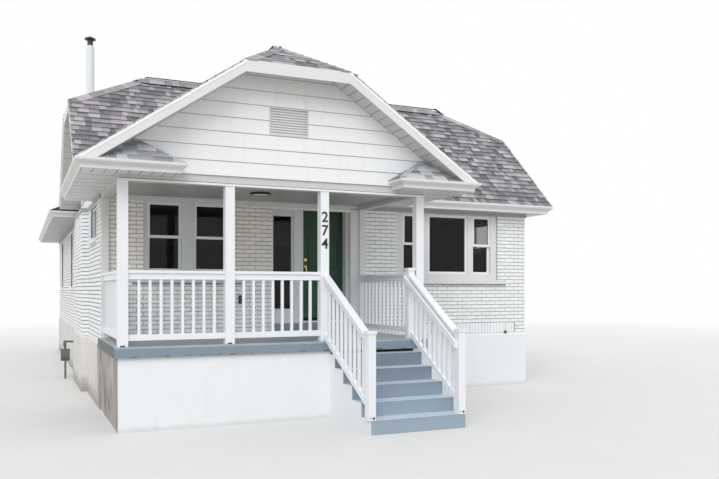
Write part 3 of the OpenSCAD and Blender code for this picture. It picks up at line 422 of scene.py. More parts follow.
@dataclass(frozen=True)
class Finish:
    """A painted or mineral surface with its shade, dirt and grain."""

    name: str
    color: Color
    roughness: float = 0.55
    metallic: float = 0.0
    coat: float = 0.0
    dirt: Color = (0.16, 0.15, 0.14)
    mottle: float = 0.05
    mottle_scale: float = 1.5
    streaks: float = 0.0
    fineness: float = 9.0
    splash: float = 0.0
    splash_top: float = 0.5
    grain: float = 0.0
    grain_scale: float = 90.0
    stretch: float = 0.0
    tone: float = 0.0

    def shade(self, s: ShaderTree) -> Socket:
        """Gives the colour its cloudy change of shade and the tone of each piece.

        Args:
            s: the material's tree.

        Returns:
            The colour.
        """
        dark = tuple(c * (1 - 2 * self.mottle) for c in self.color)
        light = tuple(min(1.0, c * (1 + 2 * self.mottle)) for c in self.color)
        color = s.mix(Effects.mottle(s, self.mottle_scale), dark, light)
        if self.tone:
            tone = s.add("Attribute", attribute_name=TONE).outputs["Fac"]
            color = s.scaled(color, s.plus(1.0 - self.tone, s.times(tone, 2 * self.tone)))
        return color

    def soiled(self, s: ShaderTree, color: Socket) -> Socket:
        """Lays rain streaks and ground splash over a colour.

        Args:
            s: the material's tree.
            color: the clean colour.

        Returns:
            The soiled colour.
        """
        if self.streaks:
            color = s.mix(Effects.streaks(s, self.streaks, self.fineness), color, self.dirt)
        if self.splash:
            color = s.mix(Effects.splash(s, self.splash, self.splash_top), color, self.dirt)
        return color

    def relief(self, s: ShaderTree) -> Socket:
        """Returns the normal of the grained surface."""
        height = Effects.grain(s, self.grain_scale, self.stretch)
        return s.add("Bump", {"Height": height, "Distance": self.grain, "Strength": 1.0}).outputs[0]

    def build(self) -> bpy.types.Material:
        """Builds the material of this finish.

        Returns:
            The material.
        """
        material, s = new_material(self.name)
        inputs = {"Base Color": self.soiled(s, self.shade(s)), "Roughness": self.roughness,
                  "Metallic": self.metallic, "Coat Weight": self.coat}
        if self.grain:
            inputs["Normal"] = self.relief(s)
        s.add("OutputMaterial", {0: s.add("BsdfPrincipled", inputs).outputs[0]})
        return material


@dataclass(frozen=True)
class ShingleFinish(Finish):
    """Mineral granules in a few blended colours, one for each tab."""

    light: Color = (0.56, 0.535, 0.56)
    dark: Color = (0.05, 0.05, 0.062)
    granule_scale: float = 260.0
    granule_shade: float = 0.62
    granule_share: float = 0.16

    def shade(self, s: ShaderTree) -> Socket:
        """Gives each tab its own colour with its granules.

        Args:
            s: the material's tree.

        Returns:
            The colour.
        """
        tone = s.add("Attribute", attribute_name=TONE).outputs["Fac"]
        ramp = s.add("ValToRGB", {0: tone})
        ramp.color_ramp.elements[0].color = (*self.dark, 1.0)
        ramp.color_ramp.elements[1].color = (*self.light, 1.0)
        ramp.color_ramp.elements.new(0.5).color = (*self.color, 1.0)
        granules = s.noise(s.coordinates(), self.granule_scale, 2.0)
        shaded = tuple(c * self.granule_shade for c in self.color)
        speckled = s.mix(s.step(granules, 0.35, 0.75), shaded, self.light)
        return s.mix(self.granule_share, ramp.outputs[0], speckled)


@dataclass(frozen=True)
class StainedFinish(Finish):
    """Plaster that is bare and stained on its left side and past an edge on the left."""

    edge_x: float = 0.0
    bare: Color = (0.38, 0.36, 0.35)
    run_shade: float = 0.45
    blot_shade: float = 1.45
    blot_share: float = 0.45

    def shade(self, s: ShaderTree) -> Socket:
        """Leaves faces that look left or lie past the edge bare.

        Args:
            s: the material's tree.

        Returns:
            The colour.
        """
        painted = super().shade(s)
        runs = s.noise(s.coordinates((1.0, 1.0, 0.7)), 2.6, 6.0)
        dark = tuple(c * self.run_shade for c in self.bare)
        bare = s.mix(s.step(runs, 0.28, 0.6), dark, self.bare)
        blots = s.step(s.noise(s.coordinates(offset=(2.0, 0.0, 5.0)), 2.2, 4.0), 0.5, 0.64)
        light = tuple(c * self.blot_shade for c in self.bare)
        bare = s.mix(s.times(blots, self.blot_share), bare, light)
        left = s.step(s.times(s.facing("X"), -1.0), 0.4, 0.6)
        past = s.inverse(s.step(s.axis("X"), self.edge_x - 0.004, self.edge_x - 0.002))
        return s.mix(s.math("MAXIMUM", left, past), painted, bare)


@dataclass(frozen=True)
class GradedFinish(Finish):
    """A surface that is lighter or darker towards its foot."""

    low_z: float = 0.1
    high_z: float = 0.8
    foot_gain: float = 1.0
    head_gain: float = 1.0

    def shade(self, s: ShaderTree) -> Socket:
        """Changes the paint evenly from the foot to the head.

        Args:
            s: the material's tree.

        Returns:
            The colour.
        """
        # On the door this gradient is painted shade, darker towards the head.
        gain = s.add("MapRange", {0: s.axis("Z"), 1: self.low_z, 2: self.high_z, 3: self.foot_gain,
                                  4: self.head_gain})
        return s.scaled(super().shade(s), gain.outputs[0])


@dataclass(frozen=True)
class StepFinish(GradedFinish):
    """Floor paint, paler on treads as a painted highlight of their lit tops, that can leave the sides
    of the steps plastered and paint shade on faces that look left.
    """

    # Paler tread colour: a painted highlight where light falls on the tops.
    tread: Color = (0.62, 0.71, 0.80)
    worn_shade: float = 0.86
    # Colour of the painted shade on faces that look left.
    shaded: Color = (0.055, 0.06, 0.065)
    painted_left_shade: bool = False
    side: Color = (0.84, 0.87, 0.90)
    plastered: bool = False
    nosing_z: float = 0.0
    nosing_h: float = 0.03
    edge_fade: float = 0.008
    rust: Color = (0.12, 0.075, 0.045)
    rust_z: float = 0.0
    rust_h: Span = (0.008, 0.03)

    def shade(self, s: ShaderTree) -> Socket:
        """Paints the risers, the treads with their painted highlight, and the sides, with painted
        shade on those that look left.

        Args:
            s: the material's tree.

        Returns:
            The colour.
        """
        # Treads, and the top band of the deck's nosing, take the paler tread colour as a painted
        # highlight, mottled with wear.
        worn = s.step(s.noise(s.coordinates((1.0, 3.0, 1.0)), 2.5, 4.0), 0.3, 0.75)
        tread = s.mix(worn, tuple(c * self.worn_shade for c in self.tread), self.tread)
        color = s.mix(s.step(s.facing("Z"), 0.5, 0.8), super().shade(s), tread)
        if self.nosing_z:
            foot = self.nosing_z - self.nosing_h
            color = s.mix(s.step(s.axis("Z"), foot, foot + self.edge_fade), color, tread)
        if self.rust_z:
            low = s.inverse(s.step(s.axis("Z"), *(self.rust_z + h for h in self.rust_h)))
            broken = s.step(s.noise(s.coordinates(), 9.0, 4.0), 0.5, 0.66)
            color = s.mix(s.times(low, broken), color, self.rust)
        if self.plastered:
            flat = s.step(s.math("ABSOLUTE", s.facing("X")), 0.95, 0.99)
            color = s.mix(flat, color, self.side)
        # Painted shade: faces that look left are darkened.
        if self.painted_left_shade:
            left = s.step(s.times(s.facing("X"), -1.0), 0.7, 0.9)
            color = s.mix(left, color, self.shaded)
        return color


@dataclass(frozen=True)
class EaveFinish(Finish):
    """White boards whose undersides have painted shade and a dark joint between each two panels."""

    panel: float = 0.15
    side_panel: float = 0.42
    joint: Color = (0.05, 0.05, 0.05)
    split: float = 0.0
    # How far the painted shade darkens the undersides.
    underside_shade_gain: float = 1.0
    joint_share: float = 0.045
    side_share: float = 0.07
    side_depth: float = 0.45

    def shade(self, s: ShaderTree) -> Socket:
        """Draws joints across the front boxes and across the side ones, and paints shade on the
        undersides.

        Args:
            s: the material's tree.

        Returns:
            The colour.
        """
        behind = s.step(s.axis("Y"), self.split - 0.001, self.split + 0.001)
        across = s.times(s.comb("X", self.panel, self.joint_share), s.inverse(behind))
        beside = s.times(s.comb("Y", self.side_panel, self.side_share), self.side_depth)
        lines = s.plus(across, s.times(beside, behind))
        under = s.step(s.times(s.facing("Z"), -1.0), 0.93, 0.98)
        # Painted shade: undersides are darkened by their gain.
        paint = s.tinted(super().shade(s), s.mix(under, PURE_WHITE, (self.underside_shade_gain,) * 3))
        return s.mix(s.times(lines, under), paint, self.joint)


@dataclass(frozen=True)
class LouvreFinish(Finish):
    """White slats with painted shade in the gap over each one."""

    low: float = 4.202
    pitch: float = 0.0376
    # Colour of the painted shade in the gaps.
    gap: Color = (0.08, 0.08, 0.08)
    gap_share: float = 0.13
    depth: float = 0.6

    def shade(self, s: ShaderTree) -> Socket:
        """Returns the paint of the slats and the painted shade of the gaps."""
        lines = s.comb("Z", self.pitch, self.gap_share, self.low)
        return s.mix(s.times(lines, self.depth), super().shade(s), self.gap)


@dataclass(frozen=True)
class LapFinish(Finish):
    """Siding paint with a painted shadow line under each board's lower edge."""

    low: float = 3.49
    pitch: float = 0.211
    # Colour of the painted shadow line.
    line: Color = (0.22, 0.22, 0.21)
    line_share: float = 0.028
    line_drop: float = 0.003
    depth: float = 0.6

    def shade(self, s: ShaderTree) -> Socket:
        """Returns the paint of the boards with their painted shadow lines."""
        lines = s.comb("Z", self.pitch, self.line_share, self.low - self.line_drop)
        return s.mix(s.times(lines, self.depth), super().shade(s), self.line)


@dataclass(frozen=True)
class PorchFinish(Finish):
    """Paint of the front wall that is creamier under the porch roof: painted warm shade above the rail
    and painted light below it.
    """

    # Painted shade and light: the warm cream tint above the rail, and the paler tint at the foot.
    inner: Color = (0.93, 0.905, 0.845)
    painted_light_foot: Color = (0.97, 0.99, 1.0)
    rail_z: float = 2.0
    rail_fade: float = 0.5
    edge_x: float = 0.15
    fade: float = 0.25
    face_y: Span = (0.015, 0.03)

    def shade(self, s: ShaderTree) -> Socket:
        """Paints light and shade on the front face as far as the porch reaches.

        Args:
            s: the material's tree.

        Returns:
            The colour.
        """
        beyond = s.step(s.axis("X"), self.edge_x, self.edge_x + self.fade)
        behind = s.step(s.axis("Y"), *self.face_y)
        inside = s.times(s.inverse(beyond), s.inverse(behind))
        over = s.step(s.axis("Z"), self.rail_z, self.rail_z + self.rail_fade)
        head = tuple(a / b for a, b in zip(self.inner, self.color))
        foot = tuple(a / b for a, b in zip(self.painted_light_foot, self.color))
        return s.tinted(super().shade(s), s.mix(inside, PURE_WHITE, s.mix(over, foot, head)))


@dataclass(frozen=True)
class FlueFinish(Finish):
    """Painted metal with a rusty head."""

    head_z: float = 7.17
    head: Color = (0.05, 0.036, 0.03)
    head_fade: float = 0.02

    def shade(self, s: ShaderTree) -> Socket:
        """Returns the paint of the pipe and the rust of its head."""
        head = s.step(s.axis("Z"), self.head_z, self.head_z + self.head_fade)
        return s.mix(head, super().shade(s), self.head)


@dataclass(frozen=True)
class GlassFinish(Finish):
    """Clear glass, tinted gray as painted shade for the rooms seen through it, with a little waviness.
    """

    index: float = 1.25
    wave_scale: float = 1.6
    wave_h: float = 0.002
    wave_strength: float = 0.4

    def build(self) -> bpy.types.Material:
        """Builds the glass.

        Returns:
            The material.
        """
        material, s = new_material(self.name)
        wave = s.noise(s.coordinates(), self.wave_scale, 1.0)
        bump = s.add("Bump", {"Height": wave, "Distance": self.wave_h,
                              "Strength": self.wave_strength})
        glass = s.add("BsdfPrincipled", {"Base Color": (*self.color, 1.0), "Roughness": 0.0,
                                         "IOR": self.index, "Transmission Weight": 1.0,
                                         "Normal": bump.outputs[0]})
        s.add("OutputMaterial", {0: glass.outputs[0]})
        return material


@dataclass(frozen=True)
class BoardFinish(Finish):
    """Narrow boards laid along an axis, with a dark line at each joint."""

    board: float = 0.09
    across: str = "Y"
    joint: Color = (0.1, 0.1, 0.1)
    joint_share: float = 0.04
    depth: float = 0.7

    def shade(self, s: ShaderTree) -> Socket:
        """Returns the board colour with its joints."""
        line = s.comb(self.across, self.board, self.joint_share)
        return s.mix(s.times(line, self.depth), super().shade(s), self.joint)


STEP_SIZES = dict(roughness=0.45, mottle=0.05, grain=0.0015, grain_scale=70.0,
                  dirt=(0.10, 0.11, 0.12))
EAVE_SIZES = dict(roughness=0.4, mottle=0.012, streaks=0.06, grain=0.0006, grain_scale=80.0,
                  stretch=0.7)
# White paint darkened as painted shade of the eave and rake boards.
EAVE_SHADED_WHITE = (0.735, 0.755, 0.775)
SIDING_SIZES = dict(color=(0.845, 0.87, 0.89), roughness=0.5, mottle=0.015, streaks=0.06,
                    grain=0.0008, grain_scale=60.0, stretch=0.8)
TRIM_SIZES = dict(roughness=0.45, mottle=0.02, streaks=0.05, grain=0.0006, grain_scale=80.0,
                  stretch=0.7)
FINISHES: dict[Slot, Finish] = {
    # Under the porch the joints take painted light and shade, lighter and warmer.
    Slot.BRICK: PorchFinish("painted brick joints", (0.23, 0.23, 0.23), 0.8, mottle=0.1,
                            mottle_scale=4.0, streaks=0.2, grain=0.003, grain_scale=120.0,
                            inner=(0.38, 0.35, 0.30), painted_light_foot=(0.38, 0.36, 0.33)),
    Slot.PLASTER: StainedFinish("painted plaster", (0.84, 0.875, 0.91), 0.6, mottle=0.02,
                                streaks=0.08, splash=0.3, splash_top=0.12, grain=0.0012,
                                grain_scale=45.0, dirt=(0.40, 0.37, 0.33),
                                edge_x=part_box("porch_base")[0].x),
    Slot.CONCRETE: Finish("bare concrete", (0.72, 0.71, 0.70), 0.85, mottle=0.08, mottle_scale=1.8,
                          streaks=0.4, fineness=4.0, splash=0.6, splash_top=0.45, grain=0.004,
                          grain_scale=60.0, dirt=(0.22, 0.185, 0.155)),
    Slot.STEP: StepFinish("floor paint", (0.21, 0.27, 0.33), streaks=0.12, **STEP_SIZES),
    Slot.SIDING: Finish("siding paint", **SIDING_SIZES),
    Slot.SHINGLE: ShingleFinish("mineral shingles", (0.25, 0.24, 0.258), 0.9, streaks=0.12,
                                grain=0.004, grain_scale=220.0, dirt=(0.12, 0.11, 0.12)),
    Slot.WHITE: Finish("white gloss paint", (0.835, 0.865, 0.905), 0.38, mottle=0.012, streaks=0.05,
                       grain=0.0006, grain_scale=80.0, stretch=0.7),
    Slot.GRAY: Finish("light gray paint", (0.60, 0.61, 0.61), **TRIM_SIZES),
    # Gray tint: painted shade for the rooms behind the windows.
    Slot.GLASS: GlassFinish("window glass", (0.55, 0.56, 0.56)),
    # Painted shade: the door darkens towards its head under the porch roof and lightens towards its
    # foot.
    Slot.GREEN: GradedFinish("dark green paint", (0.009, 0.060, 0.028), 0.5, mottle=0.06,
                             streaks=0.1, grain=0.0005, grain_scale=70.0, stretch=0.5,
                             dirt=(0.03, 0.045, 0.035), low_z=1.5, high_z=3.3, foot_gain=1.35,
                             head_gain=0.6),
    Slot.BRASS: Finish("brushed brass", (0.70, 0.50, 0.22), 0.28, metallic=1.0, mottle=0.08,
                       mottle_scale=20.0, grain=0.0002, grain_scale=600.0, stretch=0.9),
    Slot.SHEET: FlueFinish("painted sheet metal", (0.76, 0.81, 0.86), 0.4, mottle=0.03,
                           streaks=0.25, grain=0.0004, grain_scale=40.0),
    Slot.METER: Finish("gray-green metal", (0.14, 0.155, 0.145), 0.45, mottle=0.08,
                       mottle_scale=6.0, streaks=0.3, grain=0.0004, grain_scale=60.0),
    Slot.BLACK: Finish("black enamel", (0.02, 0.02, 0.022), 0.35, mottle=0.05, grain=0.0002,
                       grain_scale=200.0),
    Slot.FLOOR: BoardFinish("varnished floor", (0.16, 0.09, 0.045), 0.35, mottle=0.15,
                            mottle_scale=6.0, grain=0.0004, grain_scale=120.0, across="X"),
    Slot.CEILING: Finish("matt plaster", (0.45, 0.45, 0.44), 0.8, mottle=0.02, grain=0.001,
                         grain_scale=50.0),
}
ENTRY = Finish("entry paint", (0.75, 0.775, 0.77), **TRIM_SIZES)
SIDE_JOINTS = Finish("side wall joints", (0.09, 0.09, 0.09), 0.8, mottle=0.15, mottle_scale=4.0,
                     grain=0.003, grain_scale=120.0)
OWN_FINISHES: dict[str, Finish] = {
    **dict.fromkeys(("left_wall", "right_wall", "rear_wall", "chimney_breast"), SIDE_JOINTS),
    **dict.fromkeys(("door_frame", "entry_panel", "porch_pilasters"), ENTRY),
    "front_steps": StepFinish("plastered steps", (0.205, 0.265, 0.325), streaks=0.15,
                              plastered=True, foot_gain=1.5, head_gain=0.9, **STEP_SIZES),
    # Deck paint with painted light: the pale tread colour on its top and nosing band, and painted
    # shade on its left side.
    "porch_deck": StepFinish("deck paint", (0.215, 0.28, 0.345), streaks=0.3,
                             tread=(0.40, 0.44, 0.475), nosing_z=1.16, rust_z=1.01, painted_left_shade=True,
                             **STEP_SIZES),
    "porch_eaves": EaveFinish("porch eave paint", EAVE_SHADED_WHITE, split=-2.3, **EAVE_SIZES),
    "main_eaves": EaveFinish("main eave paint", EAVE_SHADED_WHITE, split=0.0, underside_shade_gain=0.8,
                             **EAVE_SIZES),
    "rear_eaves": EaveFinish("rear eave paint", EAVE_SHADED_WHITE, split=-1.0, underside_shade_gain=0.55,
                             **EAVE_SIZES),
    "frieze_boards": Finish("frieze paint", (0.38, 0.385, 0.395), **TRIM_SIZES),
    "porch_ceiling": Finish("ceiling paint", (0.40, 0.405, 0.385), **TRIM_SIZES),
    "front_window_casings": Finish("casing paint", (0.72, 0.735, 0.74), **TRIM_SIZES),
    "gable_vent": LouvreFinish("louvre paint", (0.80, 0.81, 0.81), 0.5, grain=0.0004, streaks=0.08),
}
# Under the porch the brick faces take painted shade above the rail and painted light below it.
BRICK_FACE = PorchFinish("white painted brick", (0.88, 0.91, 0.935), 0.55, mottle=0.03,
                         mottle_scale=5.0, streaks=0.06, grain=0.0022, grain_scale=110.0,
                         tone=0.045, dirt=(0.48, 0.44, 0.38))
DRIP = Finish("drip edge paint", (0.93, 0.95, 0.97), 0.35, mottle=0.012, streaks=0.08, grain=0.0003)
RETURN_SHINGLE = ShingleFinish("weathered shingles", (0.34, 0.35, 0.37), 0.9, streaks=0.25,
                               grain=0.004, grain_scale=220.0, dirt=(0.08, 0.08, 0.08),
                               light=(0.62, 0.64, 0.67), dark=(0.05, 0.05, 0.055))
RUST = Finish("rust", (0.16, 0.085, 0.05), 0.85, mottle=0.25, mottle_scale=20.0, grain=0.002)
SOFFIT = Finish("soffit paint", (0.58, 0.585, 0.58), 0.6, mottle=0.02, grain=0.0004, tone=0.03)
GROOVE = Finish("shaded green paint", (0.005, 0.030, 0.014), 0.6, mottle=0.05, grain=0.0003)
# Near black: the door sweep's own colour, and painted shade in the deck recess.
DARK = Finish("gap shade and sweep black", (0.012, 0.012, 0.012), 0.9, mottle=0.1)
LENS = Finish("milky lens", (0.62, 0.62, 0.58), 0.35, mottle=0.02, grain=0.0002)
# Near black: the weathered colour of the cover, bolt heads, angles and beam joint, and painted shadow
# under the sills.
WEATHERED_AND_SHADE = Finish("weathered cover and painted shade", (0.06, 0.06, 0.058), 0.6, mottle=0.2, mottle_scale=30.0,
                   grain=0.001)


class Paints:
    """The material of each finish, built at its first use."""

    _made: dict[str, bpy.types.Material] = {}

    @classmethod
    def of(cls, finish: Finish) -> bpy.types.Material:
        """Finds the material of a finish.

        Args:
            finish: the finish.

        Returns:
            Its material.
        """
        if finish.name not in cls._made:
            cls._made[finish.name] = finish.build()
        return cls._made[finish.name]


def finished(bm: BMesh, name: str, slot: Slot, finish: Finish | None = None,
             body: Body = Body.HOUSE) -> bpy.types.Object:
    """Makes a piece of the house out of a bmesh.

    Args:
        bm: the piece's shape in the house's own frame, freed here.
        name: the piece's name.
        slot: the record's slot that its finish belongs to.
        finish: its finish, if it isn't the slot's own.
        body: the body that it moves with.

    Returns:
        The new object.
    """
    mesh = bpy.data.meshes.new(name)
    bm.to_mesh(mesh)
    bm.free()
    mesh.materials.append(Paints.of(finish or FINISHES[slot]))
    piece = bpy.data.objects.new(name, mesh)
    bpy.context.scene.collection.objects.link(piece)
    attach(piece, body.value)
    LOG.info("%s: %d faces", name, len(mesh.polygons))
    return piece


def box_matrix(center: Vector, axes: tuple[Vector, Vector, Vector], size: Triple) -> Matrix:
    """Returns the matrix that makes a unit cube a box.

    Args:
        center: the middle of the box.
        axes: its three unit directions, right-handed.
        size: its lengths along them.

    Returns:
        The matrix for create_cube.
    """
    matrix = Matrix.Identity(4)
    for column, (axis, length) in enumerate(zip(axes, size)):
        for row in range(3):
            matrix[row][column] = axis[row] * length
    matrix.translation = center
    return matrix


def add_box(bm: BMesh, low: Triple | Vector, high: Triple | Vector) -> None:
    """Adds an upright box.

    Args:
        bm: the bmesh that takes it.
        low: its least corner.
        high: its greatest corner.
    """
    a, b = Vector(low), Vector(high)
    matrix = box_matrix((a + b) / 2, (RIGHT, BACK, UP), tuple(b - a))
    bmesh.ops.create_cube(bm, size=1.0, matrix=matrix)


def add_bar(bm: BMesh, start: Vector, end: Vector, width: float, height: float) -> None:
    """Adds a straight bar whose middle line joins two points.

    Args:
        bm: the bmesh that takes it.
        start: one end of the middle line.
        end: its other end.
        width: the bar's width, which lies level.
        height: its height across the middle line.
    """
    along = (end - start).normalized()
    side = UP.cross(along).normalized()
    axes = (along, side, along.cross(side))
    matrix = box_matrix((start + end) / 2, axes, ((end - start).length, width, height))
    bmesh.ops.create_cube(bm, size=1.0, matrix=matrix)


def add_disc(bm: BMesh, center: Vector, axis: Vector, radius: float, depth: float) -> None:
    """Adds a closed cylinder about an axis.

    Args:
        bm: the bmesh that takes it.
        center: its middle.
        axis: the direction of its axis.
        radius: its radius.
        depth: its length along the axis.
    """
    matrix = Matrix.Translation(center) @ UP.rotation_difference(axis).to_matrix().to_4x4()
    bmesh.ops.create_cone(bm, cap_ends=True, segments=DISC_SIDES, radius1=radius, radius2=radius,
                          depth=depth, matrix=matrix)


def cut(bm: BMesh, point: Vector, normal: Vector) -> None:
    """Takes away what lies beyond a plane and closes the cut.

    Args:
        bm: the bmesh that is cut.
        point: a point on the plane.
        normal: the plane's normal, towards what goes.
    """
    bmesh.ops.bisect_plane(bm, geom=bm.verts[:] + bm.edges[:] + bm.faces[:], dist=CUT_MERGE,
                           plane_co=point, plane_no=normal, clear_outer=True)
    bmesh.ops.holes_fill(bm, edges=[e for e in bm.edges if e.is_boundary], sides=0)


def bevel_all(bm: BMesh, width: float) -> None:
    """Rounds every sharp edge of a bmesh.

    Args:
        bm: the bmesh.
        width: the width of the rounding.
    """
    sharp = [e for e in bm.edges if e.calc_face_angle(0.0) > SHARP_ANGLE]
    bmesh.ops.bevel(bm, geom=sharp, offset=width, affect="EDGES", segments=ROUND_STEPS, profile=0.5,
                     material=-1)


@dataclass
class Border:
    """One straight stretch of a region's outline, in the region's own plane."""

    start: Vector
    end: Vector
    inward: Vector
    kind: Edge = Edge.OTHER
    shift: float = 0.0

    def __post_init__(self) -> None:
        """Measures the stretch."""
        self.length = (self.end - self.start).length
        self.along = (self.end - self.start).normalized()

    def crosses(self, corners: list[Vector]) -> bool:
        """Tells whether the stretch, moved out by its shift, cuts through a box.

        Args:
            corners: the box's corners in the region's plane.

        Returns:
            Whether the box lies on both sides of it.
        """
        sides = [(c - self.start).dot(self.inward) + self.shift for c in corners]
        if min(sides) > -CUT_SLACK or max(sides) < CUT_SLACK:
            return False
        spans = [(c - self.start).dot(self.along) for c in corners]
        slack = self.shift + SPAN_SLACK
        return max(spans) > -slack and min(spans) < self.length + slack


@dataclass
class Region:
    """A flat region of the house's surface with its own level and upward directions."""

    normal: Vector
    offset: float
    triangles: list[tuple[Vector, Vector, Vector]] = field(default_factory=list)
    borders: list[Border] = field(default_factory=list)

    def __post_init__(self) -> None:
        """Works out the level direction and the one that climbs."""
        self.along = UP.cross(self.normal).normalized()
        self.climb = self.normal.cross(self.along)
        self.axes = (self.along, self.climb, self.normal)

    def flat(self, point: Vector) -> Vector:
        """Returns a point's place in the region's plane."""
        return Vector((point.dot(self.along), point.dot(self.climb)))

    def solid(self, u: float, v: float, out: float = 0.0) -> Vector:
        """Returns the point at u along, v up and out from the plane."""
        return self.along * u + self.climb * v + self.normal * (self.offset + out)

    def outward(self, border: Border) -> Vector:
        """Returns the direction in the plane that leads out over a border."""
        return -(self.along * border.inward.x + self.climb * border.inward.y)

    def tilted(self, rise: float, length: float) -> tuple[Vector, Vector, Vector]:
        """Finds the directions of a board that leans on the one below it.

        Args:
            rise: how far its foot stands out.
            length: its length up the region.

        Returns:
            The directions along it, up it and out of it.
        """
        tilt = math.atan2(rise, length)
        climb = (self.climb * math.cos(tilt) - self.normal * math.sin(tilt)).normalized()
        return self.along, climb, self.along.cross(climb)

    def find_borders(self) -> None:
        """Finds the edges that only one triangle has."""
        seen: dict[tuple, list] = {}
        for tri in self.triangles:
            for i in range(3):
                a, b, c = tri[i], tri[(i + 1) % 3], tri[(i + 2) % 3]
                key = tuple(sorted(tuple(round(x, KEY_DIGITS) for x in p) for p in (a, b)))
                seen.setdefault(key, []).append((a, b, c))
        for found in seen.values():
            if len(found) == 1:
                a, b, c = found[0]
                side = Vector((-(b - a).y, (b - a).x)).normalized()
                self.borders.append(Border(a, b, side if (c - a).dot(side) > 0 else -side))

    def name_borders(self, rake_over: float, eave_over: float) -> None:
        """Tells rakes and eaves apart.

        Args:
            rake_over: how far the covering stands out over a rake.
            eave_over: the same over an eave.
        """
        for border in self.borders:
            if abs(border.along.y) > ALONG_Y:
                border.kind = Edge.RAKE
                border.shift = rake_over
            elif abs(border.along.x) > ALONG_X and border.inward.y > 0:
                border.kind = Edge.EAVE
                border.shift = eave_over

    def holds(self, point: Vector) -> bool:
        """Tells whether a point of the plane lies in the region.

        Args:
            point: the point's place in the plane.

        Returns:
            Whether one of the triangles holds it.
        """
        for a, b, c in self.triangles:
            sides = [(q - p).x * (point - p).y - (q - p).y * (point - p).x
                     for p, q in ((a, b), (b, c), (c, a))]
            if all(x >= -INSIDE_SLACK for x in sides) or all(x <= INSIDE_SLACK for x in sides):
                return True
        return False

    def extent(self) -> Rect:
        """Measures the region.

        Returns:
            The least and greatest u, and the least and greatest v.
        """
        us = [p.x for tri in self.triangles for p in tri]
        vs = [p.y for tri in self.triangles for p in tri]
        return min(us), max(us), min(vs), max(vs)


def regions_of(node: str, wanted: Callable[[Vector], bool], smallest: float = 0.02) -> list[Region]:
    """Finds the flat regions of a CAD node.

    Args:
        node: the node's name.
        wanted: tells from an outward normal whether its faces are wanted.
        smallest: regions with less area than this are left out.

    Returns:
        The regions with their outlines.
    """
    mesh = frame["nodes"][node].data
    found: list[Region] = []
    areas: dict[int, float] = {}
    for face in mesh.polygons:
        if face.area < TINY_FACE or not wanted(face.normal):
            continue
        normal = face.normal.copy()
        points = [mesh.vertices[i].co for i in face.vertices]
        offset = normal.dot(points[0])
        region = next((r for r in found if (r.normal - normal).length < SAME_NORMAL
                       and abs(r.offset - offset) < SAME_PLANE), None)
        if region is None:
            region = Region(normal, offset)
            found.append(region)
        region.triangles.append(tuple(region.flat(p) for p in points[:3]))
        areas[id(region)] = areas.get(id(region), 0.0) + face.area
    kept = [r for r in found if areas[id(r)] > smallest]
    for region in kept:
        region.find_borders()
    return kept


@dataclass
class Ridge:
    """A ridge or hip between two slopes of a roof, from its lower end up."""

    start: Vector
    end: Vector
    normals: tuple[Vector, Vector]

    def __post_init__(self) -> None:
        """Puts the lower end first and measures the ridge."""
        if self.start.z > self.end.z:
            self.start, self.end = self.end, self.start
        self.length = (self.end - self.start).length
        self.along = (self.end - self.start).normalized()

    def downhill(self, normal: Vector) -> Vector:
        """Returns the direction that leads down the slope with this normal."""
        side = self.along.cross(normal)
        return -side if side.z > 0 else side


def ridges_of(slopes: list[Region]) -> Iterator[Ridge]:
    """Finds the ridges and hips between the slopes of one roof.

    Args:
        slopes: the slopes.

    Yields:
        Each edge that two slopes share and that stands out between them.
    """
    for i, first in enumerate(slopes):
        for second in slopes[i + 1:]:
            points = [second.solid(*p) for tri in second.triangles for p in tri]
            middle = sum(points, Vector()) / len(points)
            if middle.dot(first.normal) >= first.offset - OUT_OF_PLANE:
                continue
            for border in first.borders:
                a, b = first.solid(*border.start), first.solid(*border.end)
                for other in second.borders:
                    c, d = second.solid(*other.start), second.solid(*other.end)
                    apart = min((a - c).length + (b - d).length, (a - d).length + (b - c).length)
                    if apart <= SAME_EDGE:
                        yield Ridge(a, b, (first.normal, second.normal))


def tone_mesh() -> BMesh:
    """Makes an empty bmesh with a tone layer.

    Returns:
        The bmesh.
    """
    bm = bmesh.new()
    bm.verts.layers.float.new(TONE)
    return bm


def pour(source: BMesh, target: BMesh) -> None:
    """Moves everything from one bmesh into another.

    Args:
        source: the bmesh that is emptied, freed here.
        target: the bmesh that takes its faces.
    """
    if source.faces:
        scrap = bpy.data.meshes.new("scrap")
        source.to_mesh(scrap)
        target.from_mesh(scrap)
        bpy.data.meshes.remove(scrap)
    source.free()


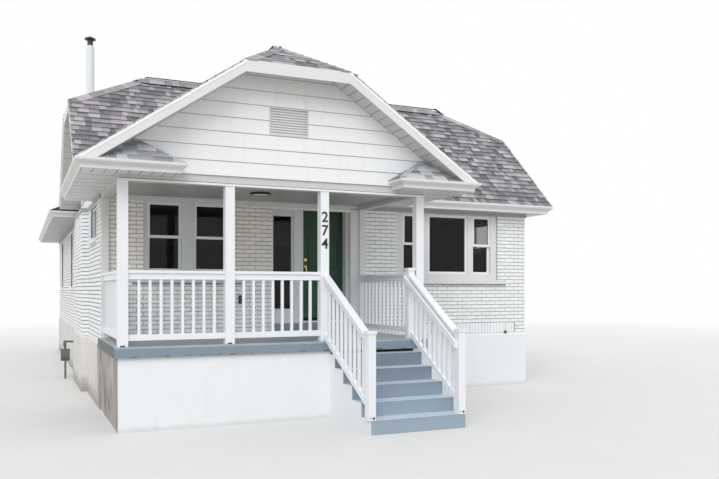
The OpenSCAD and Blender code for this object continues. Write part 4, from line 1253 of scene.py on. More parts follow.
@dataclass
class Cladding:
    """Thin boxes laid on the flat faces of one CAD node, each with its own tone."""

    node: str
    seed: int = field(default=0, kw_only=True)

    def __post_init__(self) -> None:
        """Starts the random draws and the bmesh that takes the boxes."""
        self.rng = random.Random(self.seed)
        self.bm = tone_mesh()

    @contextmanager
    def batch(self) -> Iterator[None]:
        """Collects what is laid in a small bmesh first, which is faster than adding to a large one.

        Yields:
            Nothing, while the small bmesh takes the boxes.
        """
        earlier, self.bm = self.bm, tone_mesh()
        yield
        pour(self.bm, earlier)
        self.bm = earlier

    def lay_box(self, matrix: Matrix, tone: float) -> None:
        """Adds the box that a matrix makes of a unit cube.

        Args:
            matrix: the matrix.
            tone: the shade of the box, from 0 to 1.
        """
        shade = self.bm.verts.layers.float.get(TONE)
        for vert in bmesh.ops.create_cube(self.bm, size=1.0, matrix=matrix)["verts"]:
            vert[shade] = tone

    def lay_trimmed(self, region: Region, matrix: Matrix, rect: Rect, tone: float,
                    fall: float = 0.0) -> None:
        """Adds a box and trims it where its region ends.

        Args:
            region: the flat region that it lies on.
            matrix: makes a unit cube the box.
            rect: the box's least and greatest u, and least and greatest v, in the region's plane.
            tone: the shade of the box, from 0 to 1.
            fall: how much darker its upper edge is.
        """
        corners = [Vector((u, v)) for u in rect[:2] for v in rect[2:]]
        cuts = [b for b in region.borders if b.crosses(corners)]
        if not cuts and not region.holds(sum(corners, Vector((0.0, 0.0))) / len(corners)):
            return
        tab = tone_mesh() if cuts else self.bm
        shade = tab.verts.layers.float.get(TONE)
        middle = matrix.translation.dot(region.climb)
        for vert in bmesh.ops.create_cube(tab, size=1.0, matrix=matrix)["verts"]:
            vert[shade] = tone - (fall if vert.co.dot(region.climb) > middle else 0.0)
        for border in cuts:
            edge = border.start - border.inward * border.shift
            cut(tab, region.solid(*edge), region.outward(border))
        if cuts:
            pour(tab, self.bm)


@dataclass
class Shingles(Cladding):
    """Laminated shingles in courses over one roof, with caps on its ridge and hips."""

    exposure: float = 0.143
    sheet: float = 0.006
    lap: float = 0.03
    rake_over: float = 0.034
    eave_over: float = 0.008
    cap_w: float = 0.15
    cap_over: float = 0.008
    cap_lift: float = 0.018
    cap_tone: Span = (0.45, 0.9)
    least_cap: float = 0.25
    narrow: float = 0.06
    wide: float = 0.20
    brightness: float = 0.0
    tones: tuple[float, ...] = (0.36, 0.55, 0.66, 0.73, 0.8, 0.88, 0.98)
    tone_spread: float = 0.06
    most_tone: float = 1.15
    raised_share: float = 0.55
    raised_gain: float = 1.9
    low_tone: float = 0.72
    vent_h: float = 0.026
    vent_in: float = 0.025
    vent_over: float = 0.01
    vent_short: float = 0.3
    vent_tone: float = -0.2
    # Darkening of each tab towards its upper edge: painted shade under the next course, also standing
    # for the printed shadow band.
    shadow: float = 0.3
    # Size, lift and tone of the painted shadow strip under each course.
    shadow_line_w: float = 0.024
    shadow_line_t: float = 0.002
    shadow_line_lift: float = 2.1
    shadow_line_tone: float = -0.1
    finish: Finish | None = None

    def lay(self) -> None:
        """Covers every slope of the roof, then its ridges and hips."""
        slopes = regions_of(self.node, lambda n: n.z > SLOPE_Z)
        for slope in slopes:
            slope.name_borders(self.rake_over, self.eave_over)
            self.cover(slope)
        with self.batch():
            for ridge in ridges_of(slopes):
                if ridge.length > self.least_cap:
                    self.cap(ridge)
            self.trim()
        finished(self.bm, self.node + "_shingles", Slot.SHINGLE, self.finish)

    def trim(self) -> None:
        """Cuts the caps off where the sheet of the roof ends."""
        low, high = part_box(self.node)
        over = Vector((self.rake_over, self.rake_over, 0.0))
        for corner, sign in ((low - over, -1.0), (high + over, 1.0)):
            for axis in (RIGHT, BACK):
                cut(self.bm, corner, axis * sign)

    def tone(self) -> float:
        """Returns the shade of one tab: most are middling, some dark and some light."""
        value = self.rng.choice(self.tones) + self.rng.uniform(-self.tone_spread, self.tone_spread)
        return min(self.most_tone, max(0.0, value + self.brightness))

    def cover(self, slope: Region) -> None:
        """Lays the courses of one slope from its eave up.

        Args:
            slope: the slope, with its borders named.
        """
        left, right, low, high = slope.extent()
        course = self.exposure + self.lap
        axes = slope.tilted(self.sheet, course)
        v = low - self.eave_over
        while v < high:
            with self.batch():
                u = left - self.rake_over - self.rng.uniform(0.0, self.wide)
                while u < right + self.rake_over:
                    width = self.rng.uniform(self.narrow, self.wide)
                    raised = self.rng.random() < self.raised_share
                    thick = self.sheet * (self.raised_gain if raised else 1.0)
                    foot = slope.solid(u + width / 2, v + course / 2, self.sheet * 0.5)
                    matrix = box_matrix(foot + axes[2] * thick / 2, axes, (width, course, thick))
                    tone = self.tone() * (1.0 if raised else self.low_tone)
                    rect = (u, u + width, v, v + course)
                    self.lay_trimmed(slope, matrix, rect, tone, self.shadow)
                    u += width
                # Painted shadow under the lower edges of the next course.
                self.line(slope, left, right, v + self.exposure)
            v += self.exposure

    def line(self, slope: Region, left: float, right: float, v: float) -> None:
        """Lays a painted shadow, a dark strip, under the lower edges of one course.

        Args:
            slope: the slope that it lies on.
            left: the least u of the slope.
            right: its greatest u.
            v: the height of the course's lower edges on the slope.
        """
        low = v - self.shadow_line_w
        center = slope.solid((left + right) / 2, low + self.shadow_line_w / 2, self.sheet * self.shadow_line_lift)
        matrix = box_matrix(center, slope.axes, (right - left, self.shadow_line_w, self.shadow_line_t))
        self.lay_trimmed(slope, matrix, (left, right, low, v), self.shadow_line_tone)

    def cap(self, ridge: Ridge) -> None:
        """Lays caps along a ridge or hip, each over the end of the one before.

        Args:
            ridge: the ridge or hip.
        """
        count = max(1, round(ridge.length / self.exposure))
        step = (ridge.end - ridge.start) / count
        level = abs(ridge.along.z) < LEVEL_Z
        lift = self.cap_lift + (self.vent_h if level else 0.0)
        if level:
            self.vent(ridge)
        for i in range(count):
            tone = self.rng.uniform(*self.cap_tone)
            lap = self.lap if i else 0.0
            middle = ridge.start + step * (i + 0.5) - ridge.along * lap / 2
            for normal in ridge.normals:
                side = ridge.downhill(normal)
                tilt = (ridge.along - normal * (self.sheet / self.exposure)).normalized()
                axes = (tilt, side, tilt.cross(side))
                if axes[2].dot(normal) < 0:
                    axes = (tilt, -side, -axes[2])
                center = middle + side * (self.cap_w / 2 - self.cap_over) + normal * lift
                size = (step.length + lap, self.cap_w, self.sheet)
                self.lay_box(box_matrix(center, axes, size), tone)

    def vent(self, ridge: Ridge) -> None:
        """Lays the dark strips that lift the caps of a level ridge.

        Args:
            ridge: the ridge.
        """
        width = self.cap_w - self.vent_in
        size = (ridge.length - self.vent_short, width, self.vent_h)
        for normal in ridge.normals:
            side = ridge.downhill(normal)
            out = normal * (self.sheet + self.vent_h / 2)
            middle = (ridge.start + ridge.end) / 2 + side * (width / 2 - self.vent_over) + out
            axes = (side.cross(normal), side, normal)
            self.lay_box(box_matrix(middle, axes, size), self.vent_tone)


@dataclass
class Bricks(Cladding):
    """Painted bricks in running bond on the faces of one wall that look one way."""

    facing: Vector
    pitch_l: float = 0.225
    pitch_h: float = 0.072
    joint: float = 0.011
    relief: float = 0.008
    sunk: float = 0.004
    low: float = 1.06
    top: float = 3.49
    first_offset: float = 0.0
    wrap_low: bool = False
    wrap_high: bool = False
    soldier: Span | None = None
    soldier_h: float = 0.216
    sliver: float = 0.012
    uneven: Span = (-0.0015, 0.001)
    upright: float = 0.75

    def lay(self) -> None:
        """Lays every course of the wall."""
        for wall in regions_of(self.node, lambda n: n.dot(self.facing) > FACING):
            _, _, low, high = wall.extent()
            holes = self.holes(wall)
            row = 0
            while self.foot(row) < min(high, self.top) - self.pitch_h / 2:
                if self.foot(row) > low - self.pitch_h:
                    with self.batch():
                        self.course(wall, row, holes)
                row += 1
            if self.soldier:
                with self.batch():
                    self.soldiers(wall)

    def foot(self, row: int) -> float:
        """Returns the height of the foot of a course."""
        return self.low + row * self.pitch_h

    def holes(self, wall: Region) -> list[Rect]:
        """Finds the openings of a wall.

        Args:
            wall: the wall's face.

        Returns:
            The boxes of the openings, as left, right, low and high.
        """
        boxes: list[list[float]] = []
        for border in wall.borders:
            if self.on_outline(border, wall.extent()):
                continue
            us = (border.start.x, border.end.x)
            vs = (border.start.y, border.end.y)
            box = [min(us), max(us), min(vs), max(vs)]
            for other in boxes:
                if (box[0] <= other[1] + MEETING and box[1] >= other[0] - MEETING
                        and box[2] <= other[3] + MEETING and box[3] >= other[2] - MEETING):
                    other[0], other[1] = min(other[0], box[0]), max(other[1], box[1])
                    other[2], other[3] = min(other[2], box[2]), max(other[3], box[3])
                    break
            else:
                boxes.append(box)
        return [tuple(b) for b in boxes]

    @staticmethod
    def on_outline(border: Border, extent: Rect) -> bool:
        """Tells whether a stretch lies on one of the four outer edges of its wall."""
        return any(all(abs(point[i // 2] - edge) < MEETING for point in (border.start, border.end))
                   for i, edge in enumerate(extent))

    def course(self, wall: Region, row: int, holes: list[Rect]) -> None:
        """Lays one course between the ends of the wall and its openings.

        Args:
            wall: the wall's face.
            row: the number of the course, from 0 at the foot.
            holes: the boxes of the wall's openings.
        """
        left, right, _, _ = wall.extent()
        z = self.foot(row)
        odd = row % 2
        start = left - (self.relief if self.wrap_low and odd else 0.0)
        stop = right + (self.relief if self.wrap_high and odd else 0.0)
        v0, v1 = z + self.joint / 2, min(z + self.pitch_h - self.joint / 2, self.top)
        for i in range(-1, int((stop - left) / self.pitch_l) + 2):
            u0 = left + self.first_offset + (i - odd * 0.5) * self.pitch_l
            u1 = u0 + self.pitch_l - self.joint * self.upright
            if self.soldier and z < self.low + self.soldier_h - self.joint:
                u0 = max(u0, self.soldier[1])
            pieces = [(max(u0, start), min(u1, stop), v0, v1)]
            for hole in holes:
                pieces = [p for piece in pieces for p in minus(piece, hole)]
            for piece in pieces:
                self.brick(wall, piece)

    def brick(self, wall: Region, box: Rect) -> None:
        """Adds one brick, a little uneven, unless it is a sliver.

        Args:
            wall: the wall's face.
            box: the brick's left, right, low and high edge.
        """
        u0, u1, v0, v1 = box
        if min(u1 - u0, v1 - v0) < self.sliver:
            return
        relief = self.relief + self.rng.uniform(*self.uneven)
        center = wall.solid((u0 + u1) / 2, (v0 + v1) / 2, (relief - self.sunk) / 2)
        matrix = box_matrix(center, wall.axes, (u1 - u0, v1 - v0, relief + self.sunk))
        self.lay_box(matrix, self.rng.uniform(0.0, 1.0))

    def soldiers(self, wall: Region) -> None:
        """Stands a row of upright bricks on the foundation.

        Args:
            wall: the wall's face.
        """
        u, end = self.soldier
        low, high = self.low + self.joint / 2, self.low + self.soldier_h - self.joint / 2
        while u + self.pitch_h < end:
            self.brick(wall, (u + self.joint / 2, u + self.pitch_h - self.joint / 4, low, high))
            u += self.pitch_h


def minus(box: Rect, hole: Rect) -> list[Rect]:
    """Takes a hole out of a box.

    Args:
        box: the box's left, right, low and high edge.
        hole: those of the hole.

    Returns:
        Up to four boxes that are left.
    """
    u0, u1, v0, v1 = box
    h0, h1, k0, k1 = hole
    if u1 <= h0 or u0 >= h1 or v1 <= k0 or v0 >= k1:
        return [box]
    inner = (max(u0, h0), min(u1, h1))
    parts = ((u0, h0, v0, v1), (h1, u1, v0, v1), (*inner, v0, k0), (*inner, k1, v1))
    return [part for part in parts if part[0] < part[1] and part[2] < part[3]]


@dataclass
class Masonry:
    """The brick skins of the front, the sides, the rear and the chimney breast."""

    side_joint: float = 0.013
    side_offset: float = 0.11
    breast_top: float = 3.42
    soldier_short: float = 0.245

    def build(self) -> None:
        """Lays each wall as one piece."""
        soldier = (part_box("porch_base")[1].x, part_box("front_wall_right")[1].x - self.soldier_short)
        self.skin("front_bricks", Bricks("front_wall_left", FRONT, seed=1, wrap_low=True),
                  Bricks("front_wall_over_door", FRONT, seed=2, first_offset=0.05),
                  Bricks("front_wall_right", FRONT, seed=3, wrap_high=True, first_offset=0.07,
                         soldier=soldier))
        self.skin("left_bricks", self.side("left_wall", LEFT, 4),
                  self.side("front_wall_left", LEFT, 24, False, True),
                  self.side("rear_wall", LEFT, 25, True, False))
        self.skin("right_bricks", self.side("right_wall", RIGHT, 5),
                  self.side("front_wall_right", RIGHT, 25, True, False),
                  self.side("rear_wall", RIGHT, 26, False, True))
        self.skin("rear_bricks", self.side("rear_wall", BACK, 6, True, True))
        self.skin("chimney_breast_bricks",
                  *(Bricks("chimney_breast", side, seed=seed, joint=self.side_joint,
                           top=self.breast_top, wrap_low=side == LEFT, wrap_high=side == LEFT)
                    for side, seed in ((LEFT, 8), (FRONT, 9), (BACK, 10))))

    def skin(self, name: str, *walls: Bricks) -> None:
        """Lays some faces as one piece.

        Args:
            name: the piece's name.
            walls: the bricks of its faces.
        """
        bm = tone_mesh()
        for wall in walls:
            wall.lay()
            pour(wall.bm, bm)
        finished(bm, name, Slot.BRICK, BRICK_FACE)

    def side(self, node: str, facing: Vector, seed: int, wrap_low: bool = False,
             wrap_high: bool = False) -> Bricks:
        """Makes the bricks of one face at the sides or the rear.

        Args:
            node: the wall.
            facing: the direction that the face looks in.
            seed: the start of its random draws.
            wrap_low: whether every other course goes round the corner where u is least.
            wrap_high: the same where u is greatest.

        Returns:
            The bricks, not yet laid.
        """
        return Bricks(node, facing, seed=seed, joint=self.side_joint, first_offset=self.side_offset,
                      wrap_low=wrap_low, wrap_high=wrap_high)


@dataclass
class Siding(Cladding):
    """Lap boards over one gable wall."""

    name: str
    facing: Vector
    exposure: float = 0.211
    board: float = 0.012
    lap: float = 0.02
    below: float = 0.0
    start: float = 3.49
    around: str = ""

    def lay(self) -> None:
        """Covers the gable with its boards."""
        course = self.exposure + self.lap
        for wall in regions_of(self.node, lambda n: n.dot(self.facing) > FACING):
            for border in wall.borders:
                if border.inward.y > FACING:
                    border.shift = self.below
            left, right, _, high = wall.extent()
            axes = wall.tilted(self.board, course)
            z = self.start
            while z < high:
                tone = self.rng.random()
                for rect in self.pieces(wall, (left, right, z, z + course)):
                    u0, u1, v0, v1 = rect
                    foot = wall.solid((u0 + u1) / 2, z + course / 2, self.board * 0.5)
                    up = (v0 + v1) / 2 - z - course / 2
                    center = foot + axes[2] * self.board / 2 + axes[1] * up
                    matrix = box_matrix(center, axes, (u1 - u0, v1 - v0, self.board))
                    self.lay_trimmed(wall, matrix, rect, tone)
                z += self.exposure
        paint = LapFinish("siding paint from %.2f" % self.start, low=self.start, **SIDING_SIZES)
        finished(self.bm, self.name, Slot.SIDING, paint)

    def pieces(self, wall: Region, board: Rect) -> list[Rect]:
        """Splits a board around the piece that stands in the gable.

        Args:
            wall: the face of the gable.
            board: the least and greatest u, and the least and greatest v of the board.

        Returns:
            The boxes of what is left of the board.
        """
        if not self.around:
            return [board]
        a, b = (wall.flat(corner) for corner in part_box(self.around))
        return minus(board, (min(a.x, b.x), max(a.x, b.x), min(a.y, b.y), max(a.y, b.y)))


@dataclass
class Soffits(Cladding):
    """Panels under a sloping overhang, with open joints between them."""

    name: str
    keep: Callable[[Vector], bool]
    panel: float = 0.15
    joint: float = 0.009
    thick: float = 0.008
    piece: float = 0.1

    def lay(self) -> None:
        """Covers the underside of the overhang with its panels."""
        for under in regions_of(self.node, lambda n: n.z < -SLOPE_Z):
            _, _, v, high = under.extent()
            while v < high:
                with self.batch():
                    self.row(under, v)
                v += self.panel
        finished(self.bm, self.name, Slot.GRAY, SOFFIT)

    def row(self, under: Region, v: float) -> None:
        """Adds the panels at one height that lie outside the walls.

        Args:
            under: the underside that they lie on.
            v: the height of their lower edges.
        """
        u, right, _, _ = under.extent()
        height = self.panel - self.joint
        while u < right:
            width = min(self.piece, right - u)
            center = under.solid(u + width / 2, v + self.panel / 2, self.thick / 2)
            if self.keep(center):
                matrix = box_matrix(center, under.axes, (width, height, self.thick))
                self.lay_trimmed(under, matrix, (u, u + width, v, v + height), 0.5)
            u += width


@dataclass
class DripEdges:
    """Bright metal strips along the top of the rake boards."""

    board: float = 0.022
    height: float = 0.05
    thick: float = 0.006
    over: float = 0.012
    shortest: float = 0.5

    def build(self) -> None:
        """Adds the strips of all three roofs as one piece."""
        bm = bmesh.new()
        for node in ("porch_roof", "main_roof", "rear_roof"):
            for slope in regions_of(node, lambda n: n.z > SLOPE_Z):
                slope.name_borders(0.0, 0.0)
                for border in slope.borders:
                    if border.kind is Edge.RAKE and border.length > self.shortest:
                        self.strip(bm, slope, border)
        finished(bm, "drip_edges", Slot.WHITE, DRIP)

    def strip(self, bm: BMesh, slope: Region, border: Border) -> None:
        """Adds one strip on the face of the board in front of a rake.

        Args:
            bm: the bmesh that takes it.
            slope: the slope that ends at the rake.
            border: the rake.
        """
        out = slope.outward(border)
        out.z = 0.0
        out.normalize()
        move = out * (self.board + self.thick / 2) - UP * (self.height / 2 - self.over)
        start, end = slope.solid(*border.start) + move, slope.solid(*border.end) + move
        add_bar(bm, start, end, self.thick, self.height)


@dataclass
class Numerals:
    """Black figures fixed to the third post."""

    figures: str = "274"
    height: float = 0.157
    pitch: float = 0.2
    top: float = 3.112
    thick: float = 0.006
    bold: float = 0.003
    cap_share: float = 0.72

    def build(self) -> None:
        """Adds the figures one under the other."""
        low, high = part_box("post_3")
        middle = (low.x + high.x) / 2
        bm = bmesh.new()
        for i, figure in enumerate(self.figures):
            curve = bpy.data.curves.new("figure", "FONT")
            curve.body = figure
            curve.align_x = "CENTER"
            curve.extrude = self.thick / 2
            curve.size = self.height / self.cap_share
            curve.offset = self.bold
            text = bpy.data.objects.new("figure", curve)
            bpy.context.scene.collection.objects.link(text)
            mesh = bpy.data.meshes.new_from_object(text)
            foot = self.top - self.height - i * self.pitch
            place = Matrix.Translation((middle, low.y - self.thick / 2, foot))
            mesh.transform(place @ Matrix.Rotation(math.pi / 2, 4, "X"))
            bm.from_mesh(mesh)
            bpy.data.objects.remove(text)
            bpy.data.curves.remove(curve)
        bmesh.ops.recalc_face_normals(bm, faces=bm.faces)
        finished(bm, "post_numerals", Slot.BLACK)


def dress() -> None:
    """Gives every CAD node its own finish, or else that of its slot."""
    for part in frame["record"]["subparts"]:
        piece = frame["nodes"][part["node"]]
        piece.data.materials.clear()
        finish = OWN_FINISHES.get(part["node"], FINISHES[Slot(part["material_slot"])])
        piece.data.materials.append(Paints.of(finish))


def boxes(name: str, slot: Slot, finish: Finish | None, sizes: list[Box], rounding: float = 0.0,
          body: Body = Body.HOUSE) -> None:
    """Makes one piece of upright boxes.

    Args:
        name: the piece's name.
        slot: the record's slot that its finish belongs to.
        finish: its finish, if it isn't the slot's own.
        sizes: the low and high corners of each box.
        rounding: the radius of its edges, or 0 to leave them sharp.
        body: the body that it moves with.
    """
    bm = bmesh.new()
    for low, high in sizes:
        add_box(bm, low, high)
    if rounding:
        bevel_all(bm, rounding)
    finished(bm, name, slot, finish, body)


def discs(name: str, slot: Slot, finish: Finish, sizes: list[tuple[Vector, Vector, float, float]],
          rounding: float = 0.0) -> None:
    """Makes one piece of closed cylinders.

    Args:
        name: the piece's name.
        slot: the record's slot that its finish belongs to.
        finish: its finish.
        sizes: the middle, the axis, the radius and the length of each.
        rounding: the radius of its edges, or 0 to leave them sharp.
    """
    bm = bmesh.new()
    for size in sizes:
        add_disc(bm, *size)
    if rounding:
        bevel_all(bm, rounding)
    finished(bm, name, slot, finish)


@dataclass
class Fittings:
    """Small things fixed to the porch, the door and the steps."""

    fine_edge: float = 0.0015
    sill_edge: float = 0.002
    panel_edge: float = 0.0028
    soft_edge: float = 0.003
    bead_edge: float = 0.004
    cover_edge: float = 0.014
    sweep_in: float = 0.012
    sweep_lift: float = 0.004
    sweep_h: float = 0.05
    sweep_t: float = 0.008
    panel_x: tuple[Span, ...] = ((0.10, 0.375), (0.438, 0.713))
    panel_z: tuple[Span, ...] = ((0.46, 1.09), (1.24, 1.84))
    moulding: float = 0.018
    relief: float = 0.006
    groove: float = 0.001
    reveal_y: float = -0.004
    cover_x: float = -1.843
    cover_z: float = 1.764
    cover_w: float = 0.10
    cover_h: float = 0.15
    cover_t: float = 0.036
    lens_in: float = 0.02
    lens_up: float = 0.008
    lens_t: float = 0.012
    bolt_in: float = 0.069
    bolt_y: float = 0.012
    bolt_t: float = 0.008
    bolts_at: tuple[Triple, ...] = ((-0.03, 0.035, 0.007), (0.02, 0.03, 0.016))
    gap_in: float = 0.03
    gap_lift: float = 0.001
    gap_h: float = 0.04
    gap_y: Span = (-0.004, 0.001)
    sills: tuple[Span, ...] = ((-3.69, -1.830), (1.007, 3.687))
    sill_in: float = 0.005
    sill_y: Span = (-0.052, -0.002)
    sill_h: float = 0.012
    angle_x: Span = (0.03, 0.095)
    angle_t: float = 0.004
    angle_h: float = 0.02
    stub: Triple = (3.687, -0.008, 1.075)
    stub_plate: Span = (0.034, 0.012)
    stub_pipe: Span = (0.016, 0.04)
    stub_out: float = 0.02
    bead_h: float = 0.03
    bead_t: float = 0.014
    joint_t: float = 0.002
    joint_h: float = 0.008
    board_in: float = 0.115
    board_y: Span = (-0.026, -0.006)
    board_h: float = 0.085

    def build(self) -> None:
        """Adds every fitting."""
        self.door()
        self.reveal()
        self.on_wall()
        self.lens()
        self.bolts()
        self.gap()
        self.joints()
        self.angles()
        self.pipe_stub()
        self.beads()
        self.board()

    def door(self) -> None:
        """Adds the dark strip along the foot of the door and the four panels on its outside."""
        low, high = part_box("front_door")
        boxes("door_sweep", Slot.BLACK, DARK,
              [((low.x + self.sweep_in, low.y - self.sweep_t, low.z + self.sweep_lift),
                (high.x - self.sweep_in, low.y, low.z + self.sweep_h))], self.sill_edge, Body.DOOR)
        inset = Vector((self.moulding, 0.0, self.moulding))
        grooves: list[Box] = []
        raised: list[Box] = []
        for x0, x1 in self.panel_x:
            for drop0, drop1 in self.panel_z:
                foot = Vector((low.x + x0, low.y, high.z - drop1))
                head = Vector((low.x + x1, low.y, high.z - drop0))
                raised += self.ring(foot, head, self.relief)
                rise = FRONT * self.relief
                raised.append((foot + inset * 2 + rise, head - inset * 2))
                grooves += self.ring(foot + inset, head - inset, self.groove)
        boxes("door_panels", Slot.GREEN, None, raised, self.panel_edge, Body.DOOR)
        # The grooves take painted shade in their darker green.
        boxes("door_grooves", Slot.GREEN, GROOVE, grooves, body=Body.DOOR)

    def ring(self, low: Vector, high: Vector, rise: float) -> list[Box]:
        """Finds the four bars around a rectangle on the face of the door.

        Args:
            low: the rectangle's left and lower corner.
            high: its right and upper corner.
            rise: how far the bars stand out.

        Returns:
            The corners of the bars.
        """
        left, right = low.x + self.moulding, high.x - self.moulding
        foot, head = low.z + self.moulding, high.z - self.moulding
        bars = ((low.x, left, low.z, high.z), (right, high.x, low.z, high.z),
                (left, right, low.z, foot), (left, right, head, high.z))
        return [((x0, low.y - rise, z0), (x1, low.y, z1)) for x0, x1, z0, z1 in bars]

    def reveal(self) -> None:
        """Adds the thin boards that line the brick opening in front of the door frame."""
        low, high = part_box("door_frame")
        thick = self.relief
        sizes = [((x, self.reveal_y, low.z), (x + thick, low.y, high.z - thick))
                 for x in (low.x, high.x - thick)]
        sizes.append(((low.x, self.reveal_y, high.z - thick), (high.x, low.y, high.z)))
        boxes("door_reveal", Slot.GRAY, ENTRY, sizes, self.fine_edge)

    def on_wall(self) -> None:
        """Adds the round-cornered cover on the brick beside the sidelight."""
        half_w, half_h = self.cover_w / 2, self.cover_h / 2
        boxes("wall_cover", Slot.BLACK, WEATHERED_AND_SHADE,
              [((self.cover_x - half_w, -self.cover_t, self.cover_z - half_h),
                (self.cover_x + half_w, 0.0, self.cover_z + half_h))], self.cover_edge)

    def lens(self) -> None:
        """Adds the milky lens in the ring of the ceiling light."""
        low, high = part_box("porch_light")
        middle = Vector(((low.x + high.x) / 2, (low.y + high.y) / 2, low.z + self.lens_up))
        radius = (high.x - low.x) / 2 - self.lens_in
        discs("light_lens", Slot.CEILING, LENS, [(middle, UP, radius, self.lens_t)], self.soft_edge)

    def bolts(self) -> None:
        """Adds the dark bolt heads at the feet of the newels."""
        sizes = []
        for node in ("stair_railing_left", "stair_railing_right"):
            low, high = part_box(node)
            for x, z, radius in self.bolts_at:
                middle = Vector((high.x - self.bolt_in + x, low.y + self.bolt_y, low.z + z))
                sizes.append((middle, FRONT, radius, self.bolt_t))
        discs("newel_bolts", Slot.BLACK, WEATHERED_AND_SHADE, sizes)

    def gap(self) -> None:
        """Adds painted shade, a near-black strip, in the recess between the highest tread and the
        deck.
        """
        low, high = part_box("front_steps")
        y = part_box("porch_base")[0].y
        boxes("deck_gap_shade", Slot.BLACK, DARK,
              [((low.x + self.gap_in, y + self.gap_y[0], high.z + self.gap_lift),
                (high.x - self.gap_in, y + self.gap_y[1], high.z + self.gap_h))])

    def joints(self) -> None:
        """Adds painted shadow, a dark strip, under each front window sill."""
        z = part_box("front_window_casings")[0].z
        boxes("sill_shadows", Slot.BLACK, WEATHERED_AND_SHADE,
              [((left + self.sill_in, self.sill_y[0], z - self.sill_h),
                (right - self.sill_in, self.sill_y[1], z)) for left, right in self.sills],
              self.sill_edge)

    def angles(self) -> None:
        """Adds the rusty angle at the foot of the two left posts."""
        feet = [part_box(node)[0] for node in ("post_1", "post_2")]
        boxes("post_angles", Slot.BLACK, WEATHERED_AND_SHADE,
              [((foot.x + self.angle_x[0], foot.y - self.angle_t, foot.z),
                (foot.x + self.angle_x[1], foot.y, foot.z + self.angle_h)) for foot in feet],
              self.fine_edge)

    def pipe_stub(self) -> None:
        """Adds the cut-off pipe in the wall and the rust around it."""
        middle = Vector(self.stub)
        discs("pipe_stub", Slot.BLACK, RUST,
              [(middle, FRONT, *self.stub_plate),
               (middle + FRONT * self.stub_out, FRONT, *self.stub_pipe)], self.soft_edge)

    def beads(self) -> None:
        """Adds the white bead along the foot of the porch beam and the joint over it."""
        low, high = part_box("porch_beam")
        top = low.z + self.bead_h
        boxes("beam_bead", Slot.WHITE, None,
              [((low.x, low.y - self.bead_t, low.z), (high.x, low.y, top))], self.bead_edge)
        boxes("beam_joint", Slot.BLACK, WEATHERED_AND_SHADE,
              [((low.x, low.y - self.joint_t, top), (high.x, low.y, top + self.joint_h))])

    def board(self) -> None:
        """Adds the board along the top of the wall under the porch ceiling."""
        left = min(v.co.x for v in frame["nodes"]["porch_pilasters"].data.vertices) + self.board_in
        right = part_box("entry_panel")[0].x
        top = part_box("porch_ceiling")[0].z
        boxes("porch_board", Slot.GRAY, ENTRY,
              [((left, self.board_y[0], top - self.board_h), (right, self.board_y[1], top))],
              self.soft_edge)


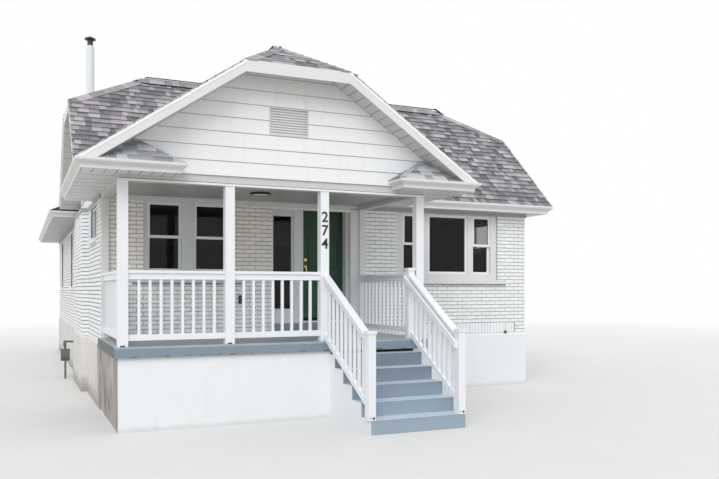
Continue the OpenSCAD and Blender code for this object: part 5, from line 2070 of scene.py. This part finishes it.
@dataclass
class Studio:
    """The pale floor, the soft light and the camera."""

    floor_size: float = 120.0
    floor_low: float = 0.70
    floor_high: float = 0.76
    floor_lit: Color = (0.52, 0.49, 0.45)
    fade: Span = (16.0, 42.0)
    sky: float = 0.92
    sun: float = 1.25
    sun_angle: float = 40.0
    sun_elevation: float = 38.0
    sun_turn: float = -32.0
    eye: Triple = (-5.373, -12.9, 1.93)
    turn: float = -24.2
    sensor: float = 36.0
    focal_pixels: float = 757.0
    photo_width: float = 719.0
    raised_pixels: float = 50.5

    def build(self) -> None:
        """Makes the whole studio."""
        self.floor()
        self.light()
        self.camera()

    def place(self, name: str, data: bpy.types.ID) -> bpy.types.Object:
        """Adds an object to the scene.

        Args:
            name: its name.
            data: what it shows.

        Returns:
            The object.
        """
        piece = bpy.data.objects.new(name, data)
        bpy.context.scene.collection.objects.link(piece)
        return piece

    def floor(self) -> None:
        """Lays the floor that the house stands on."""
        bm = bmesh.new()
        bmesh.ops.create_grid(bm, x_segments=1, y_segments=1, size=self.floor_size / 2)
        mesh = bpy.data.meshes.new("floor")
        bm.to_mesh(mesh)
        bm.free()
        material, s = new_material("pale floor")
        seen = s.background_ray()
        pale = s.mix(Effects.mottle(s, 0.8), (self.floor_low,) * 3, (self.floor_high,) * 3)
        color = s.mix(seen, self.floor_lit, pale)
        matt = s.add("BsdfPrincipled", {"Base Color": color, "Roughness": 0.9})
        glow = s.add("Emission", {"Color": (*PURE_WHITE, 1.0), "Strength": 1.0})
        place = s.add("TexCoord").outputs["Object"]
        distance = s.add("VectorMath", {0: place}, operation="LENGTH").outputs["Value"]
        far = s.times(s.step(distance, *self.fade), seen)
        both = s.add("MixShader", {0: far, 1: matt.outputs[0], 2: glow.outputs[0]})
        s.add("OutputMaterial", {0: both.outputs[0]})
        mesh.materials.append(material)
        self.place("floor", mesh)

    def light(self) -> None:
        """Sets an even pale sky and one soft lamp."""
        world = bpy.data.worlds.new("sky")
        world.use_nodes = True
        s = ShaderTree(world.node_tree)
        strength = s.add("MapRange", {0: s.background_ray(), 3: self.sky, 4: 1.0}).outputs[0]
        sky = s.add("Background", {"Color": (*PURE_WHITE, 1.0), "Strength": strength})
        s.add("OutputWorld", {0: sky.outputs[0]})
        bpy.context.scene.world = world
        lamp = bpy.data.lights.new("soft lamp", "SUN")
        lamp.energy = self.sun
        lamp.angle = math.radians(self.sun_angle)
        holder = self.place("soft lamp", lamp)
        holder.rotation_euler = (math.radians(90 - self.sun_elevation), 0.0,
                                 math.radians(self.sun_turn))

    def camera(self) -> None:
        """Sets the camera where the photograph was taken from."""
        data = bpy.data.cameras.new("camera")
        data.lens = self.sensor * self.focal_pixels / self.photo_width
        data.sensor_width = self.sensor
        data.shift_y = self.raised_pixels / self.photo_width
        holder = self.place("camera", data)
        holder.location = self.eye
        holder.rotation_euler = (math.radians(90.0), 0.0, math.radians(self.turn))
        bpy.context.scene.camera = holder
        bpy.context.scene.view_settings.view_transform = "Standard"


def lay_roofs() -> None:
    """Lays the shingles, drip edges and soffits of all roofs."""
    for seed, node in enumerate(("main_roof", "porch_roof", "rear_roof"), 40):
        Shingles(node, seed=seed).lay()
    Shingles("return_roofs", seed=44, exposure=0.12, rake_over=0.0, eave_over=0.0, cap_w=0.05,
             brightness=0.12, narrow=0.1, wide=0.3, shadow_line_w=0.03, finish=RETURN_SHINGLE).lay()
    DripEdges().build()
    wall_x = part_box("left_wall")[0].x
    porch_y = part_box("porch_gable")[0].y
    rear_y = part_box("rear_wall")[1].y
    Soffits("porch_roof", "porch_soffit", lambda p: p.y < porch_y).lay()
    Soffits("main_roof", "main_soffit", lambda p: abs(p.x) > -wall_x).lay()
    Soffits("rear_roof", "rear_soffit", lambda p: p.y > rear_y).lay()


def lay_gables() -> None:
    """Lays the boards of all four gables."""
    Siding("porch_gable", "porch_siding", FRONT, seed=31, start=3.55, around="gable_vent").lay()
    sides = (("main_gable_left", "left_siding", LEFT), ("main_gable_right", "right_siding", RIGHT),
             ("rear_gable", "rear_siding", BACK))
    for seed, (node, name, facing) in enumerate(sides, 32):
        Siding(node, name, facing, seed=seed, below=0.11).lay()


def main() -> None:
    """Builds every piece in order."""
    logging.basicConfig(level=logging.INFO, format="%(name)s: %(message)s")
    dress()
    Studio().build()
    Masonry().build()
    lay_gables()
    lay_roofs()
    Numerals().build()
    Fittings().build()


if __name__ == "__main__":
    main()
